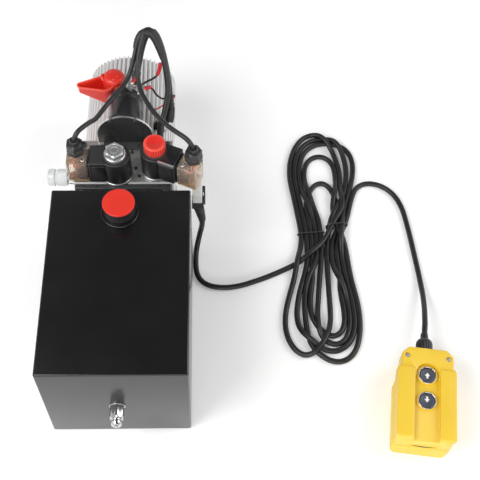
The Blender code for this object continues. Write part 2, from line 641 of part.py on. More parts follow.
def build_motor():
    axis = frame_empty("motor_axis", (0, MANIFOLD_REAR, AXIS_HEIGHT), ALONG_Y)
    pocket = BEARING_OUTER + GAP
    plate_high = GAP + PLATE_THICK
    seat = plate_high - BEARING_WIDTH + 0.001
    rim, shaft_hole = MOTOR_RADIUS - FIN_DEPTH, MOTOR_SHAFT + 0.001
    plate = [(shaft_hole, GAP), (rim, GAP), (rim, plate_high), (pocket, plate_high), (pocket, seat),
             (shaft_hole, seat)]
    node("motor_front_plate", turned(plate, 32, True), "black_steel", axis)

    housing_low = plate_high + GAP
    housing_high = housing_low + HOUSING_LENGTH
    housing = node("motor_housing", prism(fin_outline(), housing_low, housing_high), "aluminium", axis)
    tool(housing, turned([(MOTOR_BORE, 0), (MOTOR_BORE, housing_high + 0.01)], 36))
    outward = Matrix.Rotation(-TERMINAL_ANGLE, 4, "Z") @ Matrix.Rotation(math.pi / 2, 4, "Y")
    post_hole = TERMINAL_RADIUS + RUNNING
    port = turned([(post_hole, MOTOR_BORE - 0.01), (post_hole, MOTOR_RADIUS + 0.01)], 16)
    tool(housing, merged([(port, shift(0, 0, TERMINAL_ALONG) @ outward)]))

    cap_low = housing_high + GAP
    cap_high = cap_low + REAR_CAP_LENGTH
    inner = cap_high - 0.006
    cap_radius = MOTOR_RADIUS - 0.001
    boss = inner - BEARING_WIDTH - 2 * GAP
    cap = [(pocket, inner), (pocket, boss), (pocket + 0.005, boss), (pocket + 0.005, inner),
           (MOTOR_BORE, inner), (MOTOR_BORE, cap_low), (cap_radius, cap_low), (cap_radius, cap_high - 0.003),
           (cap_radius - 0.004, cap_high)]
    node("motor_rear_cap", turned(cap, 32), "aluminium", axis)

    ring_inner = MOTOR_SHAFT + GAP
    node("motor_front_bearing", bearing(ring_inner, seat + GAP), "chrome", axis)
    node("motor_rear_bearing", bearing(ring_inner, boss + GAP), "chrome", axis)
    coupling_gap = 0.030
    shaft = [(MOTOR_SHAFT - 0.001, -coupling_gap), (MOTOR_SHAFT - 0.001, 0.002), (MOTOR_SHAFT, 0.002),
             (MOTOR_SHAFT, inner - 0.001)]
    node("motor_shaft", turned(shaft, 16), "steel", axis)
    armature_low = housing_low + 0.016
    stack_high = armature_low + 0.062
    armature = [(ring_inner, armature_low), (ARMATURE_RADIUS - 0.010, armature_low),
                (ARMATURE_RADIUS, armature_low + 0.006), (ARMATURE_RADIUS, stack_high - 0.006),
                (ARMATURE_RADIUS - 0.010, stack_high), (COMMUTATOR_RADIUS, stack_high + 0.002),
                (COMMUTATOR_RADIUS, stack_high + 0.017), (ring_inner, stack_high + 0.017)]
    node("motor_armature", turned(armature, 24, True), "copper", axis)
    magnet_in, magnet_out = ARMATURE_RADIUS + MAGNET_GAP, MOTOR_BORE - 2 * GAP
    magnet = [(magnet_in, armature_low), (magnet_out, armature_low), (magnet_out, stack_high),
              (magnet_in, stack_high)]
    node("motor_magnet", turned(magnet, 32, True), "magnet", axis)
    brush_low, brush_high = stack_high + 0.006, stack_high + 0.018
    holder = [(MOTOR_SHAFT + 0.005, brush_high), (magnet_out, brush_high), (magnet_out, brush_high + 0.003),
              (MOTOR_SHAFT + 0.005, brush_high + 0.003)]
    brushes = node("motor_brush_ring", turned(holder, 24, True), "magnet", axis)
    boxes = []
    for turn in (0, math.pi):
        carbon = block((COMMUTATOR_RADIUS + 0.0015, -0.004, brush_low), (0.036, 0.004, brush_high + 0.001))
        boxes.append((carbon, Matrix.Rotation(turn, 4, "Z")))
    tool(brushes, merged(boxes), "UNION")
    coupling = [(PUMP_SHAFT + GAP, -0.062), (COUPLING_RADIUS, -0.062), (COUPLING_RADIUS, -0.012),
                (MOTOR_SHAFT + GAP, -0.012), (MOTOR_SHAFT + GAP, -0.034), (PUMP_SHAFT + GAP, -0.034)]
    node("shaft_coupling", turned(coupling, 24, True), "steel", axis)

    post = frame_empty("terminal_axis", (0, 0, TERMINAL_ALONG), outward.to_euler(), axis)
    low = MOTOR_BORE + 0.0015
    collar = MOTOR_RADIUS + 0.006
    terminal = [(TERMINAL_RADIUS, low), (TERMINAL_RADIUS, collar), (0.0075, collar + 0.001),
                (0.0065, collar + 0.001, 6), (0.0065, collar + 0.007, 6), (0.004, collar + 0.0095),
                (0.0025, collar + 0.0105)]
    node("motor_terminal", turned(terminal), "chrome", post)


# ---------------------------------------------------------------- relay


def build_relay():
    plate_front = RELAY_Y - GAP - BRACKET_THICK
    crown = arc((0, RELAY_HEIGHT - BRACKET_DROP), BRACKET_RADIUS, 0, 180, 16)
    foot_low = MANIFOLD_HIGH + GAP
    outline = crown + [(-BRACKET_RADIUS, foot_low), (BRACKET_RADIUS, foot_low)]
    flipped = [(x, -z) for x, z in outline]
    plate = prism(flipped, 0, BRACKET_THICK)
    bracket = node("relay_bracket", plate, "black_steel", None, (0, plate_front, 0), ALONG_Y)
    half = BRACKET_FOOT_WIDTH / 2
    foot = block((-half, -foot_low - BRACKET_THICK, -BRACKET_FOOT), (half, -foot_low, BRACKET_THICK / 2))
    tool(bracket, foot, "UNION")

    axis = frame_empty("relay_axis", (0, RELAY_Y, RELAY_HEIGHT), ALONG_Y)
    wall = RELAY_RADIUS - 0.0015
    can = [(wall, 0.003), (wall, RELAY_LENGTH), (RELAY_RADIUS, RELAY_LENGTH), (RELAY_RADIUS, 0.006),
           (RELAY_RIM, 0.005), (RELAY_RIM, 0)]
    node("relay_can", turned(can), "black_steel", axis)
    plunger = [(0.0062, 0.006), (0.0062, 0.030), (0.0145, 0.030), (0.0145, 0.032)]
    node("relay_plunger", turned(plunger, 16), "steel", axis)
    cap_low, cap_high = RELAY_LENGTH + GAP, RELAY_LENGTH + GAP + RELAY_CAP
    cap = node("relay_cap", turned([(RELAY_RADIUS, cap_low), (RELAY_RADIUS, cap_high - 0.002),
                                    (RELAY_RADIUS - 0.002, cap_high)]), "black_plastic", axis)
    play = STUD_RADIUS + RUNNING
    studs = {"motor": STUD_SPREAD, "battery": -STUD_SPREAD}
    hole = [(play, cap_low - 0.01), (play, cap_high + 0.01)]
    tool(cap, merged((turned(hole, 12), shift(x)) for x in studs.values()))
    for label, x in studs.items():
        stud = turned([(STUD_RADIUS, RELAY_LENGTH - 0.004), (STUD_RADIUS, STUD_END)], 12)
        node(f"relay_stud_{label}", stud, "copper", axis, (x, 0, 0))

    low, high = RELAY_HEIGHT - 0.009, RELAY_HEIGHT + 0.015
    stud_x, stud_y = -STUD_SPREAD, RELAY_Y + STUD_END
    dome_centre = (stud_x - 0.005, stud_y + 0.002)
    trough_right, trough_tip = (-0.040, stud_y - 0.002), (-0.0625, stud_y - 0.007)
    outside = capsule(trough_tip, BOOT_TIP_RADIUS, trough_right, BOOT_RADIUS)
    inside = capsule(trough_tip, BOOT_TIP_RADIUS - BOOT_WALL, trough_right, BOOT_RADIUS - BOOT_WALL)
    boot = node("battery_boot", prism(outside, low, high), "red_plastic")
    dome = turned([(DOME_RADIUS, low), (DOME_RADIUS, high + 0.003), (DOME_RADIUS - 0.003, high + 0.006)], 20)
    tool(boot, merged([(dome, shift(*dome_centre))]), "UNION")
    tool(boot, prism(inside, low + BOOT_WALL, high + 0.01))
    stud_room = turned([(STUD_RADIUS + RUNNING, -0.030), (STUD_RADIUS + RUNNING, 0.001)], 12)
    turn = Matrix.Rotation(-math.pi / 2, 4, "X")
    tool(boot, merged([(stud_room, shift(stud_x, stud_y, RELAY_HEIGHT) @ turn)]))


# ---------------------------------------------------------------- cables

MOTOR_CABLE_ROUTE = [
    (12, 307.6, 180), (13, 318, 183), (17, 331, 198), (23, 341, 221), (31, 346, 239), (40, 341, 246),
    (48, 330, 235), (54, 317, 213), (58, 303, 190), (59.5, 290, 171), (59, 279, 157),
]
LEAD_A_ROUTE = [
    (-59, 182, 214.8), (-59, 182, 219), (-54, 188, 225), (-43, 202, 223), (-35, 216, 215), (-28, 234, 209),
    (-18, 252, 209), (-5, 268, 213), (6, 284, 221), (13, 302, 234), (18, 319, 247), (22.5, 330, 254),
]
LEAD_B_ROUTE = [
    (92.1, 169.8, 214.8), (92.1, 169.8, 219), (85, 176, 225), (71, 188, 225), (58, 202, 222), (45, 220, 219),
    (33, 241, 217), (23, 262, 219), (19, 282, 226), (20, 303, 239), (24, 318, 251), (27, 325.5, 257.5),
]
LOOM_ROUTE = [
    (29, 331.5, 259), (34, 332.5, 259.5), (40, 330, 255.5), (46, 322, 245.5), (52, 311, 229.5),
    (56.5, 299, 208), (57.5, 287, 188), (54.5, 273, 173.5), (50.5, 259, 164), (47.5, 244, 158),
    (47.5, 230, 156), (53, 217.5, 156), (62, 209.5, 155.5), (70.5, 204.5, 151), (77.5, 198, 141.5),
    (86, 189.5, 132.5), (94, 180, 128.3), (98, 173, 128), (98, 167.4, 128),
]
CORD_LEAD_ROUTE = [
    (103.8, 160, 56), (104, 160, 48), (103, 159, 38), (100.5, 156, 26), (97.5, 149, 13), (95.3, 139, 5.5),
    (94.6, 127, 4.2), (95, 112, 4.2), (98, 98, 4.2), (105, 88, 4.2), (117, 81.5, 4.2), (133, 79, 4.2),
    (152, 80.5, 4.2), (172, 86, 4.2), (192, 95, 4.2), (212, 107, 4.2), (230, 118.5, 4.2), (243.5, 128.5, 4.2),
]
CORD_TAIL_ROUTE = [
    (338, 262, 4.2), (347, 264, 4.2), (357, 264, 4.2), (370, 261.5, 4.2), (383, 254, 4.2), (393.5, 243, 4.2),
    (401.5, 229, 4.2), (407, 211.5, 4.2), (410.5, 188, 4.2), (413.5, 160, 4.2), (416, 130, 4.2),
    (418, 105, 4.4), (418.8, 84, 6.5), (418.4, 62, 11.5), (416.5, 41, 18.5), (413.6, 22, 25.5),
    (411.2, 6, 29.2), (409, -6.6, 30),
]
HANK_OUTLINE = [
    (268, -32), (296, -40), (317, -22), (323, 15), (319, 68), (315, 125), (314, 180), (322, 228),
    (337, 270), (340, 318), (324, 354), (292, 367), (262, 344), (245, 300), (243, 262), (253, 218),
    (256, 172), (250, 118), (232, 78), (218, 38), (220, 4), (240, -24),
]
HANK_HEIGHT = 0.026


def closed_curve(points, steps=2):
    """The closed Catmull-Rom curve through an outline's points."""
    outline = []
    count = len(points)
    for index in range(count):
        before, start, end, after = (Vector(points[(index + offset) % count]) for offset in (-1, 0, 1, 2))
        for step in range(steps):
            t = step / steps
            bend = 2 * before - 5 * start + 4 * end - after
            twist = 3 * start - before - 3 * end + after
            outline.append(start + t * (end - before) / 2 + t * t * bend / 2 + t**3 * twist / 2)
    return [(point.x / 1000, point.y / 1000) for point in outline]


def build_cables():
    cable("motor_cable", MOTOR_CABLE_ROUTE, MOTOR_CABLE, "black_rubber", 1.3)
    cable("valve_a_lead", LEAD_A_ROUTE, VALVE_LEAD, "black_rubber", 1.8)
    cable("valve_b_lead", LEAD_B_ROUTE, VALVE_LEAD, "black_rubber", 1.8)
    cable("harness_loom", LOOM_ROUTE, LOOM, "black_rubber", 1.5)


def build_cord():
    x, y = 0.098, 0.160
    high, low = 0.150, 0.110
    shell = block((x - 0.0065, y - 0.007, low), (x + 0.0065, y + 0.007, high), 0.001)
    node("harness_connector", shell, "white_nylon")
    boot_top = low - GAP
    steps = [(0.0075, 0, boot_top, 4), (0.0075, 0, boot_top - 0.012, 4), (0.0072, 0.001, boot_top - 0.014),
             (0.0068, 0.003, boot_top - 0.030), (0.0050, 0.006, 0.0565)]
    rings = []
    for radius, lean, height, *sides in steps:
        rings.append([(px + x + lean, py + y, pz) for px, py, pz in ring_points(radius, height, 16, *sides)])
    boot = node("cord_plug", loft(rings), "black_plastic")
    latch_low = (x + 0.0068, y - 0.0035, boot_top - 0.008)
    tool(boot, block(latch_low, (x + 0.0095, y + 0.0035, high - 0.012)), "UNION")
    cable("pendant_cord_lead", CORD_LEAD_ROUTE, PENDANT_CORD, "cord_rubber")
    node("pendant_cord_hank", prism(closed_curve(HANK_OUTLINE), 0.0002, HANK_HEIGHT), "cord_rubber")
    cable("pendant_cord_tail", CORD_TAIL_ROUTE, PENDANT_CORD, "cord_rubber")


# ---------------------------------------------------------------- pendant


def case_outline(inset=0.0):
    """The pendant's plan: a box with its two head corners cut off."""
    half, end = PENDANT_WIDTH / 2 - inset, PENDANT_LENGTH / 2 - inset
    cut = HEAD_CHAMFER - 0.6 * inset
    return [(-half, -end), (half, -end), (half, end - cut), (half - cut, end), (cut - half, end),
            (-half, end - cut)]


def build_pendant():
    axis = frame_empty("pendant_axis", (PENDANT_X, PENDANT_Y, 0), (0, 0, math.radians(PENDANT_TURN)))
    wall = PENDANT_WALL
    split = PENDANT_SPLIT
    head_low = PENDANT_LENGTH / 2 - HEAD_LENGTH
    floor = PENDANT_HEIGHT - CHANNEL_DEPTH
    back = node("pendant_back", prism(case_outline(), 0, split - GAP / 2), "yellow_plastic", axis)
    tool(back, prism(case_outline(wall), wall, split + 0.01))
    shell = prism(case_outline(), split + GAP / 2, PENDANT_HEIGHT)
    front = node("pendant_front", shell, "yellow_plastic", axis)
    tool(front, prism(case_outline(wall), split - 0.01, floor - wall))
    channel = CHANNEL_WIDTH / 2
    open_end, above = -PENDANT_LENGTH / 2 - 0.01, PENDANT_HEIGHT + 0.01
    tool(front, block((-channel, open_end, floor), (channel, head_low, above)))
    buttons = {"up": BUTTON_UP_Y, "down": BUTTON_DOWN_Y}
    hole = BUTTON_RADIUS + RUNNING
    dish_room = BEZEL_RADIUS + RUNNING
    tool(front, merged([(turned([(dish_room, floor), (dish_room, above)]), shift(0, BUTTON_UP_Y))]))
    through = [(hole, floor - 0.02), (hole, floor + 0.02)]
    tool(front, merged((turned(through), shift(0, y)) for y in buttons.values()))
    gland_y = PENDANT_LENGTH / 2
    gland_z = PENDANT_SPLIT
    gland_hole = CORD_GLAND_RADIUS - 0.003
    turn = Matrix.Rotation(-math.pi / 2, 4, "X")
    for half in (back, front):
        mouth = turned([(gland_hole + RUNNING, -0.01), (gland_hole + RUNNING, 0.01)], 16)
        tool(half, merged([(mouth, shift(0, gland_y, gland_z) @ turn)]))
    gland = [(gland_hole, -0.005), (gland_hole, GAP), (CORD_GLAND_RADIUS, GAP), (CORD_GLAND_RADIUS, 0.018),
             (0.009, 0.024), (0.0065, 0.027), (0.0052, CORD_GLAND_LENGTH)]
    node("pendant_gland", turned(gland, 20), "black_plastic", axis, (0, gland_y, gland_z), ALONG_Y)

    bezel_low = floor + GAP
    plate_low, plate_high = bezel_low, bezel_low + 0.001
    spread = (BUTTON_UP_Y + BUTTON_DOWN_Y) / 2
    strip_half = BEZEL_RADIUS - 0.004
    strip = block((-strip_half, spread - 0.017, plate_low), (strip_half, spread + 0.017, plate_high))
    bezel = node("pendant_bezels", strip, "zinc_steel", axis)
    dish = [(BEZEL_RADIUS, bezel_low), (BEZEL_RADIUS - 0.001, bezel_low + BEZEL_HEIGHT)]
    tool(bezel, merged((turned(dish), shift(0, y)) for y in buttons.values()), "UNION")
    tool(bezel, merged((turned(through), shift(0, y)) for y in buttons.values()))
    switch_high = floor - wall - 0.006
    for label, y in buttons.items():
        button = [(0.004, switch_high + BUTTON_TRAVEL + GAP), (0.004, floor - wall - 0.0005),
                  (BUTTON_RADIUS, floor - wall), (BUTTON_RADIUS, bezel_low + 0.0010),
                  (BUTTON_RADIUS - 0.001, bezel_low + 0.0022)]
        node(f"pendant_button_{label}", turned(button, 20), "grey_plastic", axis, (0, y, 0))
    ends = (BUTTON_DOWN_Y - 0.010, BUTTON_UP_Y + 0.010)
    switches = block((-0.010, ends[0], 0.018), (0.010, ends[1], switch_high))
    node("pendant_switches", switches, "black_plastic", axis)


def build():
    clear_scene()
    build_tank()
    build_filler()
    build_drain()
    build_pump()
    build_manifold()
    for place in valve_places():
        build_valve(*place)
    build_motor()
    build_relay()
    build_cables()
    build_cord()
    build_pendant()


build()
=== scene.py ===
"""Looks of the hydraulic power unit: camera, light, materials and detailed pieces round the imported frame.

Everything is in metres in the row frame. Routes of cables repeat the CAD model's and are in millimetres.
"""

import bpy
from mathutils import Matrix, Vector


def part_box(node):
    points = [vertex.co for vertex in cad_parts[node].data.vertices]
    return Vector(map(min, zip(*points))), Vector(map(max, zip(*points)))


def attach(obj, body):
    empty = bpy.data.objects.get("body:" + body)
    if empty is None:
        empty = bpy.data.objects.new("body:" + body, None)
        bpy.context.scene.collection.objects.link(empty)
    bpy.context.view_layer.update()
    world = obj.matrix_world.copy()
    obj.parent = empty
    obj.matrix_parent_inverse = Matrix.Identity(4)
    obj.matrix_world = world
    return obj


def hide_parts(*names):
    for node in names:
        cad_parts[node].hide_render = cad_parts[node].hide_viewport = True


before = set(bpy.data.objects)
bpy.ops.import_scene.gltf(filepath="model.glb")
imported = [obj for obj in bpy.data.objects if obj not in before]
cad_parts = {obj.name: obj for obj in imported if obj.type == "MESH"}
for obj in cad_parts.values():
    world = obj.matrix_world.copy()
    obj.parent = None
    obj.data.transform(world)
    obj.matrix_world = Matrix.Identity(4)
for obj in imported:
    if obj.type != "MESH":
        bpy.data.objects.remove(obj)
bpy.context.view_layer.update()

import math

import bmesh
import bpy
import numpy as np
from mathutils import Matrix, Vector

UNIT = "unit"
TURN_Y = Matrix.Rotation(-math.pi / 2, 4, "X")
BACK_Y = Matrix.Rotation(math.pi / 2, 4, "X")
BACK_X = Matrix.Rotation(-math.pi / 2, 4, "Y")


def shift(x=0.0, y=0.0, z=0.0):
    return Matrix.Translation((x, y, z))


def turn_z(degrees):
    return Matrix.Rotation(math.radians(degrees), 4, "Z")


def span(node):
    """The two corners of a CAD node's box."""
    return [Vector(corner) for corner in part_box(node)]


def middle(node):
    low, high = span(node)
    return (low + high) / 2


# ---------------------------------------------------------------- camera, floor and light

CAMERA_PLACE = (0.1138, -0.5588, 1.1773)
CAMERA_YAW, CAMERA_DOWN, CAMERA_ROLL = (math.radians(a) for a in (3.654, 58.498, 2.990))
CAMERA_LENS = 69.8


def make_camera():
    yaw, down, roll = CAMERA_YAW, CAMERA_DOWN, CAMERA_ROLL
    ahead = Vector((math.sin(yaw) * math.cos(down), math.cos(yaw) * math.cos(down), -math.sin(down)))
    level = Vector((math.cos(yaw), -math.sin(yaw), 0))
    above = level.cross(ahead)
    right = math.cos(roll) * level + math.sin(roll) * above
    up = math.cos(roll) * above - math.sin(roll) * level
    data = bpy.data.cameras.new("camera")
    data.lens, data.sensor_width = CAMERA_LENS, 36
    camera = bpy.data.objects.new("camera", data)
    camera.matrix_world = Matrix.LocRotScale(
        Vector(CAMERA_PLACE), Matrix((right, up, -ahead)).transposed().to_quaternion(), None)
    bpy.context.scene.collection.objects.link(camera)
    bpy.context.scene.camera = camera


def area_light(name, place, target, size, power):
    data = bpy.data.lights.new(name, "AREA")
    data.shape, data.size, data.size_y = "RECTANGLE", size[0], size[1]
    data.energy = power
    light = bpy.data.objects.new(name, data)
    light.location = place
    light.rotation_euler = (Vector(target) - Vector(place)).to_track_quat("-Z", "Y").to_euler()
    bpy.context.scene.collection.objects.link(light)


def make_world():
    """A studio tent: bright towards the horizon, dim overhead, so that black tops stay black."""
    world = bpy.data.worlds.new("studio")
    bpy.context.scene.world = world
    world.use_nodes = True
    nodes, links = world.node_tree.nodes, world.node_tree.links
    background = nodes["Background"]
    coordinates = nodes.new("ShaderNodeTexCoord")
    split = nodes.new("ShaderNodeSeparateXYZ")
    ramp = nodes.new("ShaderNodeValToRGB")
    links.new(coordinates.outputs["Generated"], split.inputs[0])
    links.new(split.outputs["Z"], ramp.inputs[0])
    links.new(ramp.outputs[0], background.inputs["Color"])
    for place, level in ((0.0, 0.95), (0.35, 0.80), (0.75, 0.16)):
        stop = ramp.color_ramp.elements[0] if place == 0.0 else ramp.color_ramp.elements.new(place)
        stop.position, stop.color = place, (level, level, level * 1.01, 1)
    last = ramp.color_ramp.elements[-1]
    last.position, last.color = 1.0, (0.12, 0.12, 0.12, 1)


def make_stage():
    bm = bmesh.new()
    bmesh.ops.create_grid(bm, x_segments=2, y_segments=2, size=6)
    mesh = bpy.data.meshes.new("floor")
    bm.to_mesh(mesh)
    bm.free()
    floor = bpy.data.objects.new("floor", mesh)
    floor.location = (0.2, 0.1, 0)
    bpy.context.scene.collection.objects.link(floor)
    paper = surface("floor_paper", (0.93, 0.93, 0.93), 0.7, vary=0.01, bump=(300, 0.02),
                    Emission_Color=(1, 1, 1, 1), Emission_Strength=0.16)
    floor.data.materials.append(paper)
    area_light("key", (-0.9, -0.5, 1.5), (0.05, 0.1, 0.05), (1.1, 0.9), 23)
    area_light("fill", (1.5, 0.2, 1.3), (0.1, 0.1, 0.05), (1.0, 1.2), 13)
    area_light("front", (0.2, -1.9, 0.9), (0.1, 0.0, 0.05), (1.8, 0.5), 14)


# ---------------------------------------------------------------- materials


class Nodes:
    """A material's node tree, with short calls for the few nodes used here."""

    def __init__(self, name):
        self.material = bpy.data.materials.new(name)
        self.material.use_nodes = True
        self.tree = self.material.node_tree
        self.shader = self.tree.nodes["Principled BSDF"]
        self.coordinates = self.tree.nodes.new("ShaderNodeTexCoord").outputs["Object"]

    def join(self, source, target):
        self.tree.links.new(source, target)

    def placed(self, stretch):
        mapping = self.tree.nodes.new("ShaderNodeMapping")
        mapping.inputs["Scale"].default_value = stretch
        self.join(self.coordinates, mapping.inputs["Vector"])
        return mapping.outputs[0]

    def noise(self, scale, detail=3.0, stretch=None):
        texture = self.tree.nodes.new("ShaderNodeTexNoise")
        texture.inputs["Scale"].default_value = scale
        texture.inputs["Detail"].default_value = detail
        self.join(self.placed(stretch) if stretch else self.coordinates, texture.inputs["Vector"])
        return texture.outputs["Fac"]

    def cells(self, scale, stretch=None):
        texture = self.tree.nodes.new("ShaderNodeTexVoronoi")
        texture.inputs["Scale"].default_value = scale
        self.join(self.placed(stretch) if stretch else self.coordinates, texture.inputs["Vector"])
        return texture.outputs["Distance"]

    def ranged(self, value, low, high, start=0.0, end=1.0):
        node = self.tree.nodes.new("ShaderNodeMapRange")
        for socket, number in zip(node.inputs[1:5], (start, end, low, high)):
            socket.default_value = number
        self.join(value, node.inputs[0])
        return node.outputs[0]

    def blend(self, factor, first, second):
        node = self.tree.nodes.new("ShaderNodeMix")
        node.data_type = "RGBA"
        self.join(factor, node.inputs[0])
        for socket, value in ((node.inputs[6], first), (node.inputs[7], second)):
            if isinstance(value, tuple):
                socket.default_value = (*value, 1)
            else:
                self.join(value, socket)
        return node.outputs[2]

    def bump(self, height, strength, distance=0.0005):
        node = self.tree.nodes.new("ShaderNodeBump")
        node.inputs["Strength"].default_value = strength
        node.inputs["Distance"].default_value = distance
        self.join(height, node.inputs["Height"])
        return node.outputs[0]

    def edges(self, start=0.505, end=0.56):
        geometry = self.tree.nodes.new("ShaderNodeNewGeometry")
        return self.ranged(geometry.outputs["Pointiness"], 0.0, 1.0, start, end)


def surface(name, colour, roughness, metallic=0.0, vary=0.12, vary_scale=60, rough_vary=0.06,
            bump=(900, 0.1), stretch=None, edge_wear_and_highlight=None, specks=None, **sockets):
    """A material with mottled colour, uneven gloss and a fine relief; the edge colour is laid on convex edges,
    partly rubbed wear and partly a painted highlight.
    """
    made = Nodes(name)
    shader = made.shader
    darker, lighter = (tuple(min(1.0, c * (1 + side * vary)) for c in colour) for side in (-1, 1))
    tone = made.blend(made.ranged(made.noise(vary_scale, 4, stretch), 0, 1, 0.3, 0.7), darker, lighter)
    if specks:
        scale, size, speck_colour = specks
        tone = made.blend(made.ranged(made.cells(scale), 1, 0, 0.0, size), tone, speck_colour)
    # Lighter colour on convex edges: partly rubbed wear, partly a painted highlight.
    if edge_wear_and_highlight:
        tone = made.blend(made.edges(), tone, edge_wear_and_highlight)
    made.join(tone, shader.inputs["Base Color"])
    gloss = made.ranged(made.noise(vary_scale * 3, 5, stretch), roughness - rough_vary,
                        roughness + rough_vary, 0.3, 0.7)
    made.join(gloss, shader.inputs["Roughness"])
    if bump:
        made.join(made.bump(made.noise(bump[0], 3, stretch), bump[1]), shader.inputs["Normal"])
    shader.inputs["Metallic"].default_value = metallic
    for socket, value in sockets.items():
        shader.inputs[socket.replace("_", " ")].default_value = value
    return made.material


def make_materials():
    """Every finish, by name."""
    black = (0.0065, 0.0065, 0.0070)
    return {
        "paint": surface("black_gloss_paint", black, 0.22, vary=0.3, vary_scale=9, bump=(420, 0.05),
                         rough_vary=0.03, Coat_Weight=0.10, Coat_Roughness=0.10,
                         specks=(700, 0.05, (0.03, 0.03, 0.03))),
        "plate": surface("black_oxide_steel", (0.011, 0.012, 0.012), 0.30, vary=0.35, vary_scale=30,
                         bump=(1500, 0.12), edge_wear_and_highlight=(0.06, 0.06, 0.06)),
        "can": surface("black_can_enamel", (0.009, 0.009, 0.010), 0.34, vary=0.3, vary_scale=40,
                       bump=(700, 0.06), Coat_Weight=0.3, Coat_Roughness=0.25),
        "plastic": surface("moulded_black_plastic", (0.010, 0.010, 0.011), 0.36, vary=0.25,
                           bump=(2600, 0.22), edge_wear_and_highlight=(0.030, 0.030, 0.031)),
        "rubber": surface("black_rubber", (0.013, 0.013, 0.014), 0.52, vary=0.3, bump=(1800, 0.25),
                          rough_vary=0.1),
        "sheath": surface("cable_sheath", (0.013, 0.013, 0.0135), 0.40, vary=0.3, vary_scale=80,
                          bump=(2200, 0.18), rough_vary=0.10),
        "cord": surface("cord_sheath", (0.0105, 0.0105, 0.011), 0.37, vary=0.35, vary_scale=45,
                        bump=(1900, 0.2), rough_vary=0.10, specks=(420, 0.06, (0.04, 0.04, 0.04))),
        "red": surface("red_moulded_plastic", (0.70, 0.022, 0.013), 0.34, vary=0.10, vary_scale=35,
                       bump=(2200, 0.12), edge_wear_and_highlight=(0.86, 0.09, 0.06), Subsurface_Weight=0.05),
        "red_disc": surface("red_disc_plastic", (0.68, 0.028, 0.015), 0.42, vary=0.05, vary_scale=50,
                            bump=(2600, 0.12)),
        "red_pvc": surface("red_pvc_sleeve", (0.60, 0.018, 0.028), 0.38, vary=0.2, vary_scale=150,
                           bump=(2200, 0.2)),
        "yellow": surface("yellow_moulded_plastic", (0.80, 0.535, 0.026), 0.42, vary=0.035, vary_scale=28,
                          bump=(2400, 0.16), edge_wear_and_highlight=(0.84, 0.58, 0.08), Subsurface_Weight=0.04),
        "nylon": surface("white_nylon", (0.74, 0.74, 0.71), 0.42, vary=0.05, bump=(2000, 0.12),
                         Subsurface_Weight=0.1),
        "gasket": surface("tan_gasket", (0.52, 0.36, 0.17), 0.45, vary=0.25, vary_scale=120,
                          bump=(1500, 0.2)),
        "brown": surface("brown_insert", (0.060, 0.026, 0.014), 0.35, vary=0.5, vary_scale=150,
                         bump=(1500, 0.2)),
        "grey": surface("button_face", (0.070, 0.076, 0.100), 0.32, vary=0.15, vary_scale=120,
                        bump=(2600, 0.15), metallic=0.2),
        "arrow": surface("arrow_paint", (0.82, 0.83, 0.84), 0.5, vary=0.05, vary_scale=300,
                         bump=(3000, 0.1)),
        "cast": surface("cast_aluminium", (0.66, 0.67, 0.66), 0.42, 1.0, vary=0.10, vary_scale=70,
                        bump=(1500, 0.35), rough_vary=0.1, edge_wear_and_highlight=(0.85, 0.85, 0.84)),
        "extruded": surface("extruded_aluminium", (0.56, 0.55, 0.55), 0.56, 0.75, vary=0.09,
                            vary_scale=26, bump=(520, 0.2), stretch=(1, 0.06, 1),
                            edge_wear_and_highlight=(0.86, 0.86, 0.85)),
        "milled": surface("milled_aluminium", (0.50, 0.51, 0.49), 0.46, 1.0, vary=0.10, vary_scale=24,
                          bump=(700, 0.14), stretch=(0.07, 1, 1), edge_wear_and_highlight=(0.72, 0.72, 0.70)),
        "zinc": surface("zinc_plate", (0.66, 0.66, 0.63), 0.27, 1.0, vary=0.14, vary_scale=130,
                        bump=(800, 0.15), edge_wear_and_highlight=(0.85, 0.85, 0.82)),
        "chrome": surface("chrome_plate", (0.58, 0.58, 0.59), 0.12, 1.0, vary=0.08, vary_scale=160,
                          bump=(500, 0.05), rough_vary=0.04),
        "nut": surface("dull_zinc_nut", (0.46, 0.46, 0.47), 0.40, 0.9, vary=0.10, vary_scale=160,
                       bump=(700, 0.1), edge_wear_and_highlight=(0.66, 0.66, 0.66)),
        "steel": surface("turned_steel", (0.50, 0.50, 0.51), 0.30, 1.0, vary=0.12, bump=(900, 0.2)),
        "copper": surface("copper", (0.72, 0.34, 0.19), 0.34, 1.0, vary=0.2, vary_scale=150,
                          bump=(900, 0.2)),
        "iron": surface("ferrite", (0.06, 0.06, 0.062), 0.6, vary=0.2, bump=(1200, 0.4)),
        "clear": surface("clear_port_cap", (0.86, 0.88, 0.88), 0.20, vary=0.03, bump=(700, 0.15),
                         Transmission_Weight=0.55, IOR=1.42),
        "amber": surface("amber_clear_plastic", (0.93, 0.80, 0.68), 0.14, vary=0.05, vary_scale=70,
                         bump=(500, 0.05), rough_vary=0.04, Transmission_Weight=0.86, IOR=1.40),
        "pink": surface("pink_clear_film", (0.93, 0.78, 0.82), 0.16, vary=0.05, bump=(700, 0.1),
                        Transmission_Weight=0.6, IOR=1.4),
    }


# ---------------------------------------------------------------- shapes

SMOOTH_ANGLE = 38


def ring_points(radius, height, count, sides=0):
    """A circle, or a regular polygon of this inradius, with the same number of points."""
    points = []
    for index in range(count):
        angle = 2 * math.pi * index / count
        reach = radius
        if sides:
            sector = 2 * math.pi / sides
            reach = radius / math.cos((angle + sector / 2) % sector - sector / 2)
        points.append(Vector((reach * math.cos(angle), reach * math.sin(angle), height)))
    return points


def loft(rings, closed=False):
    bm = bmesh.new()
    rows = [[bm.verts.new(point) for point in ring] for ring in rings]
    pairs = list(zip(rows, rows[1:])) + ([(rows[-1], rows[0])] if closed else [])
    for lower, upper in pairs:
        for index in range(len(lower)):
            after = (index + 1) % len(lower)
            bm.faces.new((lower[index], lower[after], upper[after], upper[index]))
    if not closed:
        bm.faces.new(rows[0])
        bm.faces.new(rows[-1])
    return bm


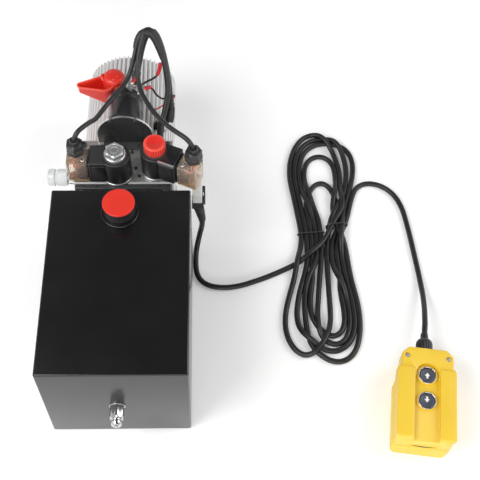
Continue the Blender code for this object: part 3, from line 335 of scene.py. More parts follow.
def eased(profile, radius, steps=3, closed=False):
    """The profile with its corners rounded: each corner becomes a short curve."""
    if not radius:
        return profile
    out = []
    count = len(profile)
    for index, point in enumerate(profile):
        if not closed and index in (0, count - 1):
            out.append(point)
            continue
        here = Vector(point[:2])
        before, after = Vector(profile[index - 1][:2]), Vector(profile[(index + 1) % count][:2])
        reach = min(radius, 0.42 * (before - here).length, 0.42 * (after - here).length)
        start = here + (before - here).normalized() * reach
        end = here + (after - here).normalized() * reach
        for step in range(steps + 1):
            t = step / steps
            spot = (1 - t) ** 2 * start + 2 * t * (1 - t) * here + t * t * end
            out.append((spot.x, spot.y, *point[2:]))
    return out


def turned(profile, count=48, ease=0.0, bored=False):
    """A body turned about Z from (radius, height) points; a third value makes that ring a polygon."""
    shape = eased(profile, ease, closed=bored)
    return loft([ring_points(p[0], p[1], count, *p[2:]) for p in shape], bored)


def prism(outline, low, high, ease=0.0, steps=3):
    """An outline raised from low to high, with its top and bottom edges rounded by ease."""
    rings = []
    if ease:
        for step in range(steps + 1):
            angle = math.pi / 2 * step / steps
            rings.append((inset(outline, ease * (1 - math.sin(angle))), low + ease * (1 - math.cos(angle))))
        for step in range(steps + 1):
            angle = math.pi / 2 * step / steps
            rings.append((inset(outline, ease * (1 - math.cos(angle))), high - ease * (1 - math.sin(angle))))
    else:
        rings = [(outline, low), (outline, high)]
    return loft([[(x, y, height) for x, y in ring] for ring, height in rings])


def inset(outline, reach):
    """The outline moved inwards, corner by corner; it runs anticlockwise."""
    if reach <= 0:
        return outline
    moved = []
    for index, point in enumerate(outline):
        here = Vector(point)
        before = (here - Vector(outline[index - 1])).normalized()
        after = (Vector(outline[(index + 1) % len(outline)]) - here).normalized()
        normal = Vector((-before.y - after.y, before.x + after.x))
        scale = max(0.35, (1 + before.dot(after)) / 2)
        moved.append(tuple(here + normal / 2 * reach / scale))
    return moved


def rounded_outline(points, radius, steps=5):
    return [tuple(p) for p in eased(points, radius, steps, closed=True)]


def rectangle(x0, y0, x1, y1, radius):
    return rounded_outline([(x0, y0), (x1, y0), (x1, y1), (x0, y1)], radius)


def arc(centre, radius, start, end, steps):
    angles = [math.radians(start + (end - start) * index / steps) for index in range(steps + 1)]
    return [(centre[0] + radius * math.cos(a), centre[1] + radius * math.sin(a)) for a in angles]


def capsule(left, left_radius, right, right_radius):
    return arc(right, right_radius, -90, 90, 14) + arc(left, left_radius, 90, 270, 14)


def cuboid(low, high, ease=0.001, segments=3):
    bm = bmesh.new()
    size, centre = Vector(high) - Vector(low), (Vector(high) + Vector(low)) / 2
    bmesh.ops.create_cube(bm, size=1, matrix=shift(*centre) @ Matrix.Diagonal((*size, 1)))
    if ease:
        bmesh.ops.bevel(bm, geom=bm.edges[:], offset=ease, segments=segments, profile=0.5, affect="EDGES")
    return bm


def merged(parts):
    """Several bodies in one bmesh; each part is a bmesh, or a bmesh and its matrix."""
    whole = bmesh.new()
    for part in parts:
        bm, matrix = part if isinstance(part, tuple) else (part, None)
        if matrix:
            bm.transform(matrix)
        mesh = bpy.data.meshes.new("part")
        bm.to_mesh(mesh)
        bm.free()
        whole.from_mesh(mesh)
        bpy.data.meshes.remove(mesh)
    return whole


def smooth_path(route, spacing):
    """Points along the Catmull-Rom curve through a route, about one spacing apart."""
    route = [Vector(point) for point in route]
    ends = [2 * route[0] - route[1]] + route + [2 * route[-1] - route[-2]]
    path = []
    for before, start, end, after in zip(ends, ends[1:], ends[2:], ends[3:]):
        steps = max(1, round((end - start).length / spacing))
        for step in range(steps):
            t = step / steps
            bend = 2 * before - 5 * start + 4 * end - after
            twist = 3 * start - before - 3 * end + after
            path.append(start + t * (end - before) / 2 + t * t * bend / 2 + t**3 * twist / 2)
    return path + [route[-1]]


def tube(points, radius, count=16):
    """A round tube along points, with no twist; radius may be one number or one for each point."""
    points = [Vector(point) for point in points]
    radii = radius if isinstance(radius, (list, tuple)) else [radius] * len(points)
    across = None
    rings = []
    for index, point in enumerate(points):
        along = (points[min(index + 1, len(points) - 1)] - points[max(index - 1, 0)]).normalized()
        if across is None:
            across = along.orthogonal().normalized()
        across = (across - along * across.dot(along)).normalized()
        up = along.cross(across)
        ring = []
        for step in range(count):
            angle = 2 * math.pi * step / count
            ring.append(point + radii[index] * (math.cos(angle) * across + math.sin(angle) * up))
        rings.append(ring)
    return loft(rings)


def piece(name, bm, finish, body=UNIT, place=None, stands_for=(), angle=SMOOTH_ANGLE):
    """A finished piece riding on its body; the CAD parts it stands for are hidden."""
    if place:
        bm.transform(place)
    bmesh.ops.recalc_face_normals(bm, faces=bm.faces)
    mesh = bpy.data.meshes.new(name)
    bm.to_mesh(mesh)
    bm.free()
    mesh.shade_smooth()
    mesh.set_sharp_from_angle(angle=math.radians(angle))
    obj = bpy.data.objects.new(name, mesh)
    obj.data.materials.append(FINISH[finish])
    bpy.context.scene.collection.objects.link(obj)
    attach(obj, body)
    if stands_for:
        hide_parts(*([stands_for] if isinstance(stands_for, str) else stands_for))
    return obj


def carve(obj, bm, operation="DIFFERENCE", ease=0.0, place=None):
    """Cuts a bmesh from a piece, or joins it on, and rounds the new edges by ease."""
    if place:
        bm.transform(place)
    bmesh.ops.recalc_face_normals(bm, faces=bm.faces)
    mesh = bpy.data.meshes.new("cutter")
    bm.to_mesh(mesh)
    bm.free()
    cutter = bpy.data.objects.new("cutter", mesh)
    bpy.context.scene.collection.objects.link(cutter)
    modifier = obj.modifiers.new("carve", "BOOLEAN")
    modifier.operation, modifier.object, modifier.solver = operation, cutter, "EXACT"
    if ease:
        bevel = obj.modifiers.new("ease", "BEVEL")
        bevel.width, bevel.segments, bevel.limit_method = ease, 3, "ANGLE"
        bevel.angle_limit = math.radians(50)
    settle_modifiers(obj)
    bpy.data.objects.remove(cutter, do_unlink=True)


def settle_modifiers(obj):
    bpy.context.view_layer.update()
    graph = bpy.context.evaluated_depsgraph_get()
    made = bpy.data.meshes.new_from_object(obj.evaluated_get(graph), depsgraph=graph)
    obj.modifiers.clear()
    old, obj.data = obj.data, made
    bpy.data.meshes.remove(old)
    made.shade_smooth()
    made.set_sharp_from_angle(angle=math.radians(SMOOTH_ANGLE))


def millimetres(route):
    return [Vector(point) / 1000 for point in route]


def cable(name, route, diameter, stands_for):
    path = smooth_path(millimetres(route), 0.6 * diameter)
    piece(name, tube(path, diameter / 2, 20), "sheath", stands_for=stands_for, angle=60)


def band(name, path, start, end, radius, lip):
    """A rubber sleeve round part of a path, from one share of its points to another; lip widens its ends."""
    first, last = round(start * (len(path) - 1)), round(end * (len(path) - 1))
    part = path[first:last + 1]
    radii = [radius + (lip if index in (0, len(part) - 1) else 0) for index in range(len(part))]
    piece(name, tube(part, radii, 20), "rubber", angle=60)


# ---------------------------------------------------------------- pendant cord

CORD_DIAMETER = 0.008
CORD_LEAD_ROUTE = [
    (100, 160, 105), (101.5, 160, 90), (102.8, 160, 72), (103.8, 160, 56), (104, 160, 48), (103, 159, 38),
    (100.5, 156, 26), (97.5, 149, 13), (95.3, 139, 5.5), (94.6, 127, 4.2), (95, 112, 4.2), (98, 98, 4.2),
    (105, 88, 4.2), (117, 81.5, 4.2), (133, 79, 4.2), (152, 80.5, 4.2), (172, 86, 4.4), (190, 93, 5.5),
    (207, 101, 8.5), (224, 109, 13), (242, 118, 18), (260, 129, 22), (276, 142, 23), (291, 160, 22),
    (303, 184, 20),
]
CORD_TAIL_ROUTE = [
    (311, 190, 6), (319, 218, 4.2), (325, 241, 4.2), (334, 256, 4.2), (348, 262, 4.2), (362, 261, 4.2),
    (375, 257, 4.2), (386, 250, 4.2), (394.5, 241, 4.2), (401.5, 229, 4.2), (407, 211.5, 4.2),
    (410.5, 188, 4.2), (413.5, 160, 4.2), (416, 130, 4.2), (418, 105, 4.4), (418.8, 84, 6.5),
    (418.4, 62, 11.5), (416.5, 41, 18.5), (413.6, 22, 25.5), (411.2, 6, 29.2), (409, -6.6, 30), (409.4, -17, 30),
]
CORD_STEP = 0.007
# How many of the lead's last points and of the tail's first points settle with the hank.
LEAD_FREE, TAIL_FREE = 8, 6
SETTLING_ROUNDS = 300
# The turns of the hank from the first one laid to the last, each from its right side up, over the far end,
# down its left side and round its near end, in millimetres.
HANK_TURNS = [
    [(310, 223), (312, 253), (311, 295), (307, 325), (297, 346), (279, 356), (260, 347), (248, 323), (242, 288),
     (241, 258), (247, 223), (254, 191), (256, 156), (248, 118), (233, 80), (223, 42), (220, 8), (229, -17),
     (249, -29), (268, -19), (279, 8), (284, 50), (286, 103), (290, 144)],
    [(300, 182), (311, 220), (322, 257), (326, 291), (320, 320), (305, 341), (283, 347), (262, 335), (250, 304),
     (248, 268), (254, 225), (262, 189), (264, 156), (258, 118), (247, 82), (239, 44), (242, 9), (255, -14),
     (274, -25), (296, -20), (311, 1), (316, 37), (313, 77), (307, 115), (303, 148)],
    [(308, 188), (320, 224), (333, 264), (338, 300), (332, 326), (315, 340), (294, 338), (268, 327), (253, 300),
     (252, 264), (259, 229), (267, 195), (269, 158), (264, 118), (256, 79), (251, 45), (252, 10), (259, -18),
     (273, -35), (293, -41), (312, -33), (321, -10), (320, 21), (318, 55), (315, 105), (310, 148)],
    [(306, 184), (310, 227), (313, 262), (312, 289), (303, 309), (286, 316), (268, 308), (260, 288), (260, 259),
     (267, 222), (274, 188), (276, 151), (274, 107), (270, 53), (269, 15), (277, -8), (294, -17), (311, -8),
     (317, 15), (312, 56), (302, 102), (297, 142)],
    [(302, 178), (309, 210), (311, 236), (303, 256), (286, 264), (268, 256), (260, 236), (261, 210), (265, 178),
     (265, 140), (258, 90), (256, 46), (260, 20), (270, 4), (285, -3), (300, 4), (309, 20), (310, 50),
     (304, 98), (301, 128), (306, 156)],
]
HANK_TOP, HANK_DROP = 24, 4
HOME_PULL, SAG_PULL, SAG = 0.015, 0.1, 0.0004
CONTACT_LIFT, CONTACT_PUSH = 0.0008, 0.8


def hank_route():
    """The turns of the hank, each one starting below the one before."""
    route = []
    for turn, points in enumerate(HANK_TURNS):
        for index, (x, y) in enumerate(points):
            route.append((x, y, HANK_TOP - HANK_DROP * (turn + index / len(points))))
    return route


def spread(moves, free, passes=6):
    """Shares each point's move with its neighbours along the cord, so that no kink forms."""
    for _ in range(passes):
        moves[1:-1] = (moves[:-2] + 2 * moves[1:-1] + moves[2:]) / 4
    moves[~free] = 0
    return moves


def settled(path, fixed_start, fixed_end):
    """Drops a looped cord onto the floor; where it crosses itself, its strands rest on each other."""
    points = np.array([tuple(p) for p in path])
    order = np.arange(len(points))
    strangers = (order[None, :] - order[:, None]) > 8
    free = (order >= fixed_start) & (order < len(points) - fixed_end)
    floor = CORD_DIAMETER / 2 + 0.0002
    stiffen(points, free, 60)
    home = points.copy()
    for _ in range(SETTLING_ROUNDS):
        moves = HOME_PULL * (home - points)
        moves[:, 2] = SAG_PULL * bending(points)[:, 2] - SAG
        points += spread(moves, free, 1)
        stiffen(points, free, 8)
        for _ in range(3):
            square = (points**2).sum(1)
            gaps = square[:, None] + square[None, :] - 2 * points @ points.T
            first, second = np.nonzero((gaps < CORD_DIAMETER**2) & strangers)
            away = points[first] - points[second]
            away[:, 2] += CONTACT_LIFT * np.sign(home[first, 2] - home[second, 2])
            far = np.linalg.norm(away, axis=1) + 1e-9
            push = away * ((CORD_DIAMETER - far).clip(0) / far)[:, None]
            moves = np.zeros_like(points)
            hits = np.ones(len(points))
            for side, sign in ((first, 1), (second, -1)):
                np.add.at(moves, side, CONTACT_PUSH * sign * push)
                np.add.at(hits, side, 0.5)
            points += spread(moves / hits[:, None], free, 2)
            points[free, 2] = np.maximum(points[free, 2], floor)
    return [Vector(p) for p in points]


def stiffen(points, free, passes):
    """Evens out the cord's bends without pulling its loops in."""
    for _ in range(passes):
        moves = -0.4 * bending(bending(points))
        moves[~free] = 0
        points += moves


def bending(points):
    """How far each point lies from the middle of its neighbours."""
    pull = np.zeros_like(points)
    pull[1:-1] = (points[:-2] + points[2:]) / 2 - points[1:-1]
    return pull


def even(path, step):
    """The path again, with points the same distance apart."""
    spans = [(b - a).length for a, b in zip(path, path[1:])]
    total = sum(spans)
    count = round(total / step)
    out, index, passed = [path[0]], 0, 0.0
    for number in range(1, count):
        goal = total * number / count
        while passed + spans[index] < goal:
            passed += spans[index]
            index += 1
        out.append(path[index].lerp(path[index + 1], (goal - passed) / spans[index]))
    return out + [path[-1]]


def make_cord():
    lead, tail = millimetres(CORD_LEAD_ROUTE), millimetres(CORD_TAIL_ROUTE)
    hank = millimetres(hank_route())
    path = even(smooth_path(lead + hank + tail, CORD_STEP / 2), CORD_STEP)
    start = next(i for i, p in enumerate(path) if (p - lead[-LEAD_FREE]).length < CORD_STEP)
    end = next(i for i, p in enumerate(reversed(path)) if (p - tail[TAIL_FREE]).length < CORD_STEP)
    path = even(smooth_path(settled(path, start, end), CORD_STEP / 2), CORD_STEP / 2)
    data = bpy.data.curves.new("pendant_cord", "CURVE")
    data.dimensions = "3D"
    data.bevel_depth, data.bevel_resolution, data.use_fill_caps = CORD_DIAMETER / 2, 4, True
    spline = data.splines.new("POLY")
    spline.points.add(len(path) - 1)
    for target, point in zip(spline.points, path):
        target.co = (*point, 1)
    spline.use_smooth = True
    cord = bpy.data.objects.new("pendant_cord", data)
    data.materials.append(FINISH["cord"])
    bpy.context.scene.collection.objects.link(cord)
    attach(cord, UNIT)
    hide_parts("pendant_cord_lead", "pendant_cord_hank", "pendant_cord_tail")
    return cord, path


# ---------------------------------------------------------------- small fittings


RIB_POINTS, RIB_SHARE = 6, 0.5


def ribbed(radius, depth, ribs, height):
    """A ring of points with ribs round it, for knurled and gripped parts."""
    points = []
    for index in range(ribs * RIB_POINTS):
        angle = 2 * math.pi * index / (ribs * RIB_POINTS)
        wave = 0.5 + 0.5 * math.cos(ribs * angle)
        reach = radius - depth * (1 - min(1.0, wave / RIB_SHARE))
        points.append(Vector((reach * math.cos(angle), reach * math.sin(angle), height)))
    return points


def gripped(profile, ribs, depth):
    """A turned body with ribs where the profile's third value is true."""
    return loft([ribbed(p[0], depth if len(p) > 2 else 0.0, ribs, p[1]) for p in profile])


def hex_bolt(flat, height):
    """A hexagon head with a chamfered top, standing on z = 0."""
    rings = [(flat, 0.0, 6), (flat, height * 0.82, 6), (flat * 0.93, height)]
    dish = [(flat * 0.62, height), (flat * 0.58, height * 0.94)]
    return turned(rings + dish, 48)


def pan_screw(radius, height):
    """A pan head with a cross recess, standing on z = 0."""
    head = turned([(radius, 0), (radius, height * 0.45), (radius * 0.82, height * 0.9),
                   (radius * 0.4, height)], 32, ease=height * 0.3)
    arms = []
    for angle in (20, 110):
        bar = cuboid((-radius * 0.62, -radius * 0.11, height * 0.55),
                     (radius * 0.62, radius * 0.11, height * 1.3), 0)
        bar.transform(turn_z(angle))
        arms.append(bar)
    return head, arms


def screw(name, place, radius, height, finish="zinc"):
    head, arms = pan_screw(radius, height)
    obj = piece(name, head, finish, place=place)
    for arm in arms:
        carve(obj, arm, place=place)


def cable_tie(name, points):
    """A thin round tie through points round a bundle."""
    path = smooth_path(points + [points[0]], 0.002)
    piece(name, tube(path, 0.0010, 10), "plastic", angle=60)


# ---------------------------------------------------------------- tank and filler


def make_tank():
    low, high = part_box("tank_shell")
    piece("tank_body", cuboid(low, high, 0.0024, 5), "paint", stands_for="tank_shell")
    beads = []
    for side in (-1, 1):
        x = side * (high[0] - 0.0006)
        for y in (low[1] + 0.0042, high[1] - 0.0042):
            route = [(x, y, 0.008), (x, y, high[2] - 0.008)]
            beads.append(tube(smooth_path([Vector(p) for p in route], 0.006), 0.0009, 10))
    piece("tank_weld_beads", merged(beads), "paint")

    axis = middle("filler_cap_disc")
    base = shift(axis.x, axis.y, high[2])
    neck = [(0.0125, -0.004), (0.0165, -0.004), (0.0165, 0.0002), (0.0245, 0.0003), (0.0245, 0.0019),
            (0.0238, 0.0030), (0.0205, 0.0034), (0.0175, 0.0040), (0.0165, 0.0046), (0.0165, 0.0145),
            (0.0125, 0.0145)]
    piece("filler_neck_ring", turned(neck, 72, 0.0006, bored=True), "paint", place=base,
          stands_for="filler_neck")
    skirt = [(0.0172, 0.0048), (0.0193, 0.0048), (0.0201, 0.0056, 1), (0.0201, 0.0186, 1), (0.0201, 0.0198),
             (0.0190, 0.0205), (0.0172, 0.0205)]
    piece("filler_cap_skirt", gripped(skirt, 40, 0.0007), "plastic", "filler_cap", base, "filler_cap")
    disc = [(0.0190, 0.0207), (0.0206, 0.0208), (0.0207, 0.0232), (0.0200, 0.0236), (0.0150, 0.02365),
            (0.0100, 0.0237)]
    piece("filler_cap_top", turned(disc, 72, 0.0004), "red_disc", "filler_cap", base, "filler_cap_disc")

    drain = middle("drain_plug")
    place = shift(drain.x, low[1], drain.z) @ BACK_Y
    plug = [(0.0074, -0.004), (0.0074, 0.0003), (0.0085, 0.0004, 6), (0.0085, 0.0165, 6), (0.0080, 0.0180),
            (0.0060, 0.0182), (0.0058, 0.0196), (0.0065, 0.0200), (0.0065, 0.0254), (0.0056, 0.0266),
            (0.0030, 0.0267), (0.0026, 0.0262), (0.0026, 0.0200)]
    piece("drain_fitting", turned(plug, 72), "chrome", place=place, stands_for="drain_plug")
    washer = [(0.0086, 0.0001), (0.0104, 0.0001), (0.0104, 0.0014), (0.0086, 0.0014)]
    piece("drain_washer", turned(washer, 48, 0.0003, bored=True), "steel", place=place)


# ---------------------------------------------------------------- manifold and its fittings


SHAFT_HEIGHT, HUB_RADIUS, FLANGE_BOLT_REACH = 0.088, 0.0484, 0.0545


def make_manifold():
    low, high = span("manifold_block")
    flange_low = span("tank_flange")[0]
    bolts = []
    for angle in (50, 90, 130, 180, 0, 230, 310):
        x, z = arc((0, SHAFT_HEIGHT), FLANGE_BOLT_REACH, angle, angle, 1)[0]
        bolts.append((hex_bolt(0.0050, 0.0042), shift(x, flange_low.y + 0.0080, z) @ TURN_Y))
    piece("flange_bolts", merged(bolts), "zinc")

    cover = piece("flange_cover", cuboid((low.x + 0.003, low.y - 0.0085, low.z + 0.002),
                                         (high.x - 0.003, low.y - 0.0004, high.z - 0.0004), 0.0012), "plate")
    carve(cover, turned([(HUB_RADIUS, -0.02), (HUB_RADIUS, 0.02)], 96),
          place=shift(0, low.y, SHAFT_HEIGHT) @ TURN_Y)
    caps = []
    for x, z in ((-0.056, 0.1425), (0.0, 0.1440), (0.054, 0.1425), (-0.056, 0.040), (0.054, 0.040)):
        caps.append((hex_bolt(0.0042, 0.0036), shift(x, low.y - 0.0085, z) @ BACK_Y))
    piece("flange_cover_bolts", merged(caps), "steel")

    port = shift(low.x, middle("port_plug").y, middle("port_plug").z) @ BACK_X
    hexagon = [(0.0075, -0.004), (0.0075, 0.0003), (0.0098, 0.0004, 6), (0.0098, 0.0095, 6),
               (0.0090, 0.0110), (0.0085, 0.0112), (0.0085, 0.0125)]
    piece("port_adapter", turned(hexagon, 60), "zinc", place=port, stands_for="port_plug")
    cap = [(0.0100, 0.0126), (0.0119, 0.0128, 1), (0.0119, 0.0250, 1), (0.0113, 0.0262), (0.0104, 0.0266),
           (0.0104, 0.0290), (0.0119, 0.0296), (0.0119, 0.0372), (0.0110, 0.0388), (0.0070, 0.0389),
           (0.0060, 0.0380)]
    piece("port_cap", gripped(cap, 24, 0.0006), "clear", place=port)

    heads = []
    for x, y in ((low.x + 0.010, high.y - 0.010), (high.x - 0.010, high.y - 0.010)):
        heads.append((turned([(0.0048, 0), (0.0048, 0.0040), (0.0044, 0.0046), (0.0026, 0.0046),
                              (0.0024, 0.0020, 6)], 48), shift(x, y, high.z)))
    piece("manifold_cap_screws", merged(heads), "plate")
    plugs = []
    for y in (low.y + 0.020, high.y - 0.022):
        rings = [(0.0068, 0), (0.0068, 0.0008), (0.0058, 0.0012), (0.0034, 0.0012), (0.0032, -0.0006, 6)]
        plugs.append((turned(rings, 48), shift(high.x, y, 0.060) @ Matrix.Rotation(math.pi / 2, 4, "Y")))
        plugs.append((turned(rings, 48), shift(low.x, y, 0.060) @ BACK_X))
    piece("gallery_plugs", merged(plugs), "steel")


# ---------------------------------------------------------------- valves

VALVE_TURNS = {"a": 180, "b": -23}
COIL_RADIUS, COIL_SIDE, COIL_REACH = 0.020, 0.016, 0.034
COIL_LOW, COIL_HIGH = 0.0043, 0.0440
SOCKET_LOW, SOCKET_HIGH, SOCKET_SIDE, SOCKET_REACH = 0.005, 0.040, 0.0135, 0.064
GLAND_REACH = 0.050
GLAND_OFFSETS = {"a": -0.008, "b": 0.008}


def make_valve(letter):
    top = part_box("manifold_block")[1][2]
    stem = middle(f"valve_{letter}_knob" if letter == "b" else "valve_a_nut")
    axis = shift(stem.x, stem.y, top) @ turn_z(VALVE_TURNS[letter])

    base = [(0.0092, -0.006), (0.0092, 0.0003), (0.0192, 0.0003), (0.0210, 0.0010), (0.0210, 0.0030),
            (0.0200, 0.0039), (0.0076, 0.0040), (0.0075, 0.0515), (0.0068, 0.0520)]
    piece(f"valve_{letter}_base", turned(base, 72, 0.0003), "nut", place=axis,
          stands_for=f"valve_{letter}_cartridge")

    meet = math.degrees(math.asin(COIL_SIDE / COIL_RADIUS))
    outline = arc((0, 0), COIL_RADIUS, meet, 360 - meet, 40)
    outline += rounded_outline([(0.012, -COIL_SIDE), (COIL_REACH, -COIL_SIDE), (COIL_REACH, COIL_SIDE),
                                (0.012, COIL_SIDE)], 0.002)[4:-4]
    coil = piece(f"valve_{letter}_coil_body", prism(outline, COIL_LOW, COIL_HIGH, 0.0016, 4), "plastic",
                 place=axis, stands_for=f"valve_{letter}_coil")
    carve(coil, turned([(0.0082, 0), (0.0082, 0.05)], 48), place=axis)
    collar = [(0.0160, COIL_HIGH - 0.0008), (0.0160, COIL_HIGH + 0.0002), (0.0150, COIL_HIGH + 0.0003),
              (0.0084, COIL_HIGH + 0.0003), (0.0084, COIL_HIGH - 0.0008)]
    piece(f"valve_{letter}_washer", turned(collar, 60, bored=True), "plate", place=axis)
    ribs = [cuboid((0.012, side * COIL_SIDE - 0.0006, COIL_LOW + 0.006),
                   (0.030, side * COIL_SIDE + 0.0006, COIL_HIGH - 0.006), 0.0005) for side in (-1, 1)]
    piece(f"valve_{letter}_coil_ribs", merged(ribs), "plastic", place=axis)

    make_socket(letter, axis)
    if letter == "a":
        nut = [(0.0080, 0.0445), (0.0140, 0.0446), (0.0140, 0.0462), (0.0131, 0.0470), (0.0115, 0.0473, 6),
               (0.0115, 0.0532, 6), (0.0108, 0.0545), (0.0088, 0.0546), (0.0082, 0.0538), (0.0066, 0.0538),
               (0.0062, 0.0547), (0.0046, 0.0549), (0.0042, 0.0540), (0.0022, 0.0540)]
        piece("valve_a_top_nut", turned(nut, 72), "nut", place=axis, stands_for="valve_a_nut")
    else:
        knob = [(0.0084, 0.0445), (0.0128, 0.0446), (0.0140, 0.0452), (0.0145, 0.0470, 1),
                (0.0145, 0.0575, 1), (0.0141, 0.0585), (0.0130, 0.0594), (0.0105, 0.0597), (0.0100, 0.0594),
                (0.0040, 0.0593), (0.0030, 0.0588)]
        piece("valve_b_override", gripped(knob, 28, 0.0007), "red", "override_knob", axis, "valve_b_knob")


def make_socket(letter, axis):
    """The plug-in connector: a clear amber shell with its gasket, contacts and gland."""
    low, high, side, reach = SOCKET_LOW, SOCKET_HIGH, SOCKET_SIDE, SOCKET_REACH
    outline = rectangle(COIL_REACH + 0.0022, -side, reach, side, 0.003)
    shell = piece(f"valve_{letter}_clear_shell", prism(outline, low, high, 0.0018, 4), "amber", place=axis,
                  stands_for=f"valve_{letter}_connector")
    carve(shell, cuboid((COIL_REACH + 0.0040, -side + 0.0018, low - 0.001),
                        (reach - 0.0020, side - 0.0018, high - 0.0020), 0.001), place=axis)
    gasket = rectangle(-side, -(high - low) / 2, side, (high - low) / 2, 0.002)
    stand = shift(COIL_REACH + 0.0003, 0, (low + high) / 2) @ Matrix(
        ((0, 0, 1, 0), (1, 0, 0, 0), (0, 1, 0, 0), (0, 0, 0, 1)))
    piece(f"valve_{letter}_gasket", prism(gasket, 0, 0.0017, 0.0004), "rubber", place=axis @ stand)
    insert = cuboid((COIL_REACH + 0.0046, -0.0082, low + 0.0012),
                    (COIL_REACH + 0.0150, 0.0082, low + 0.0225), 0.0012)
    piece(f"valve_{letter}_insert", insert, "brown", place=axis)
    board = cuboid((COIL_REACH + 0.0155, -0.0105, low + 0.0008), (reach - 0.0034, 0.0105, low + 0.0030),
                   0.0004)
    skirt = cuboid((COIL_REACH + 0.0026, -side + 0.0006, low - 0.0022),
                   (reach - 0.0006, side - 0.0006, low - 0.0002), 0.0005)
    piece(f"valve_{letter}_board", merged([board, skirt]), "gasket", place=axis)
    blades = []
    for y in (-0.0058, 0.0, 0.0058):
        blades.append(cuboid((COIL_REACH + 0.0100, y - 0.0013, low + 0.0226),
                             (COIL_REACH + 0.0180, y + 0.0013, low + 0.0238), 0.0003))
        blades.append(cuboid((COIL_REACH + 0.0172, y - 0.0013, low + 0.0031),
                             (COIL_REACH + 0.0180, y + 0.0013, low + 0.0238), 0.0003))
    piece(f"valve_{letter}_contacts", merged(blades), "copper", place=axis)
    lamp = turned([(0.0016, 0), (0.0016, 0.0040), (0.0011, 0.0052)], 24, 0.0004)
    piece(f"valve_{letter}_lamp", lamp, "red_pvc", place=axis @ shift(reach - 0.0085, 0.0068, low + 0.0031))
    resistor = tube([Vector((reach - 0.0075, y, low + 0.0052))
                     for y in (-0.0080, -0.0070, -0.0060, -0.0010, 0.0, 0.0010)],
                    [0.0006, 0.0006, 0.0014, 0.0014, 0.0006, 0.0006], 14)
    piece(f"valve_{letter}_resistor", resistor, "gasket", place=axis)
    if letter == "b":
        # A thin light metal strip along the coil's top edge, standing in for a painted highlight on that edge.
        strips = [cuboid((0.0110, -COIL_SIDE - 0.0009, COIL_HIGH - 0.0040),
                         (0.0335, -COIL_SIDE - 0.0002, COIL_HIGH + 0.0003), 0.0002),
                  cuboid((0.0110, -COIL_SIDE - 0.0009, COIL_HIGH + 0.0001),
                         (0.0335, -COIL_SIDE + 0.0012, COIL_HIGH + 0.0007), 0.0002)]
        piece("valve_b_highlight_strip", merged(strips), "nut", place=axis)
    screw(f"valve_{letter}_screw", axis @ shift(COIL_REACH + 0.0085, -GLAND_OFFSETS[letter] * 0.8,
                                                high - 0.0001), 0.0028, 0.0016)
    wires = []
    offset = GLAND_OFFSETS[letter]
    for number, y in enumerate((-0.0058, 0.0058)):
        start = Vector((COIL_REACH + 0.0180, y, low + 0.0215))
        end = Vector((GLAND_REACH, offset + (number - 0.5) * 0.0026, high - 0.0010))
        bend = (start + end) / 2 + Vector((0.004, 0, -0.004))
        wires.append(tube(smooth_path([start, bend, end], 0.001), 0.0010, 12))
    piece(f"valve_{letter}_wires", merged(wires), "red_pvc", place=axis)

    base = high + 0.0003
    nut = [(0.0072, base - 0.003), (0.0072, base), (0.0104, base, 6), (0.0104, base + 0.0080, 6),
           (0.0096, base + 0.0090)]
    nut += [(0.0080, base + 0.0092)]
    cap = [(0.0080, base + 0.0092), (0.0098, base + 0.0094, 6), (0.0098, base + 0.0178, 6),
           (0.0092, base + 0.0192), (0.0066, base + 0.0200), (0.0060, base + 0.0222),
           (0.0050, base + 0.0238), (0.0036, base + 0.0236)]
    place = axis @ shift(GLAND_REACH + 0.002, offset, 0)
    piece(f"valve_{letter}_gland_nut", turned(nut, 60), "plastic", place=place,
          stands_for=f"valve_{letter}_gland")
    piece(f"valve_{letter}_gland_cap", turned(cap, 60), "plastic", place=place)


# ---------------------------------------------------------------- motor

MOTOR_FINS, MOTOR_RADIUS, FIN_DEPTH = 60, 0.065, 0.005


def fin_outline(crest=MOTOR_RADIUS):
    outline = []
    for fin in range(MOTOR_FINS):
        centre = 2 * math.pi * (fin + 0.5) / MOTOR_FINS
        valley = MOTOR_RADIUS - FIN_DEPTH
        for radius, share in ((valley, -0.36), (valley + 0.0006, -0.29), (crest - 0.0012, -0.21),
                              (crest - 0.0003, -0.15), (crest, -0.07), (crest, 0.07),
                              (crest - 0.0003, 0.15), (crest - 0.0012, 0.21), (valley + 0.0006, 0.29),
                              (valley, 0.36)):
            angle = centre + share * 2 * math.pi / MOTOR_FINS
            outline.append((radius * math.cos(angle), radius * math.sin(angle)))
    return outline


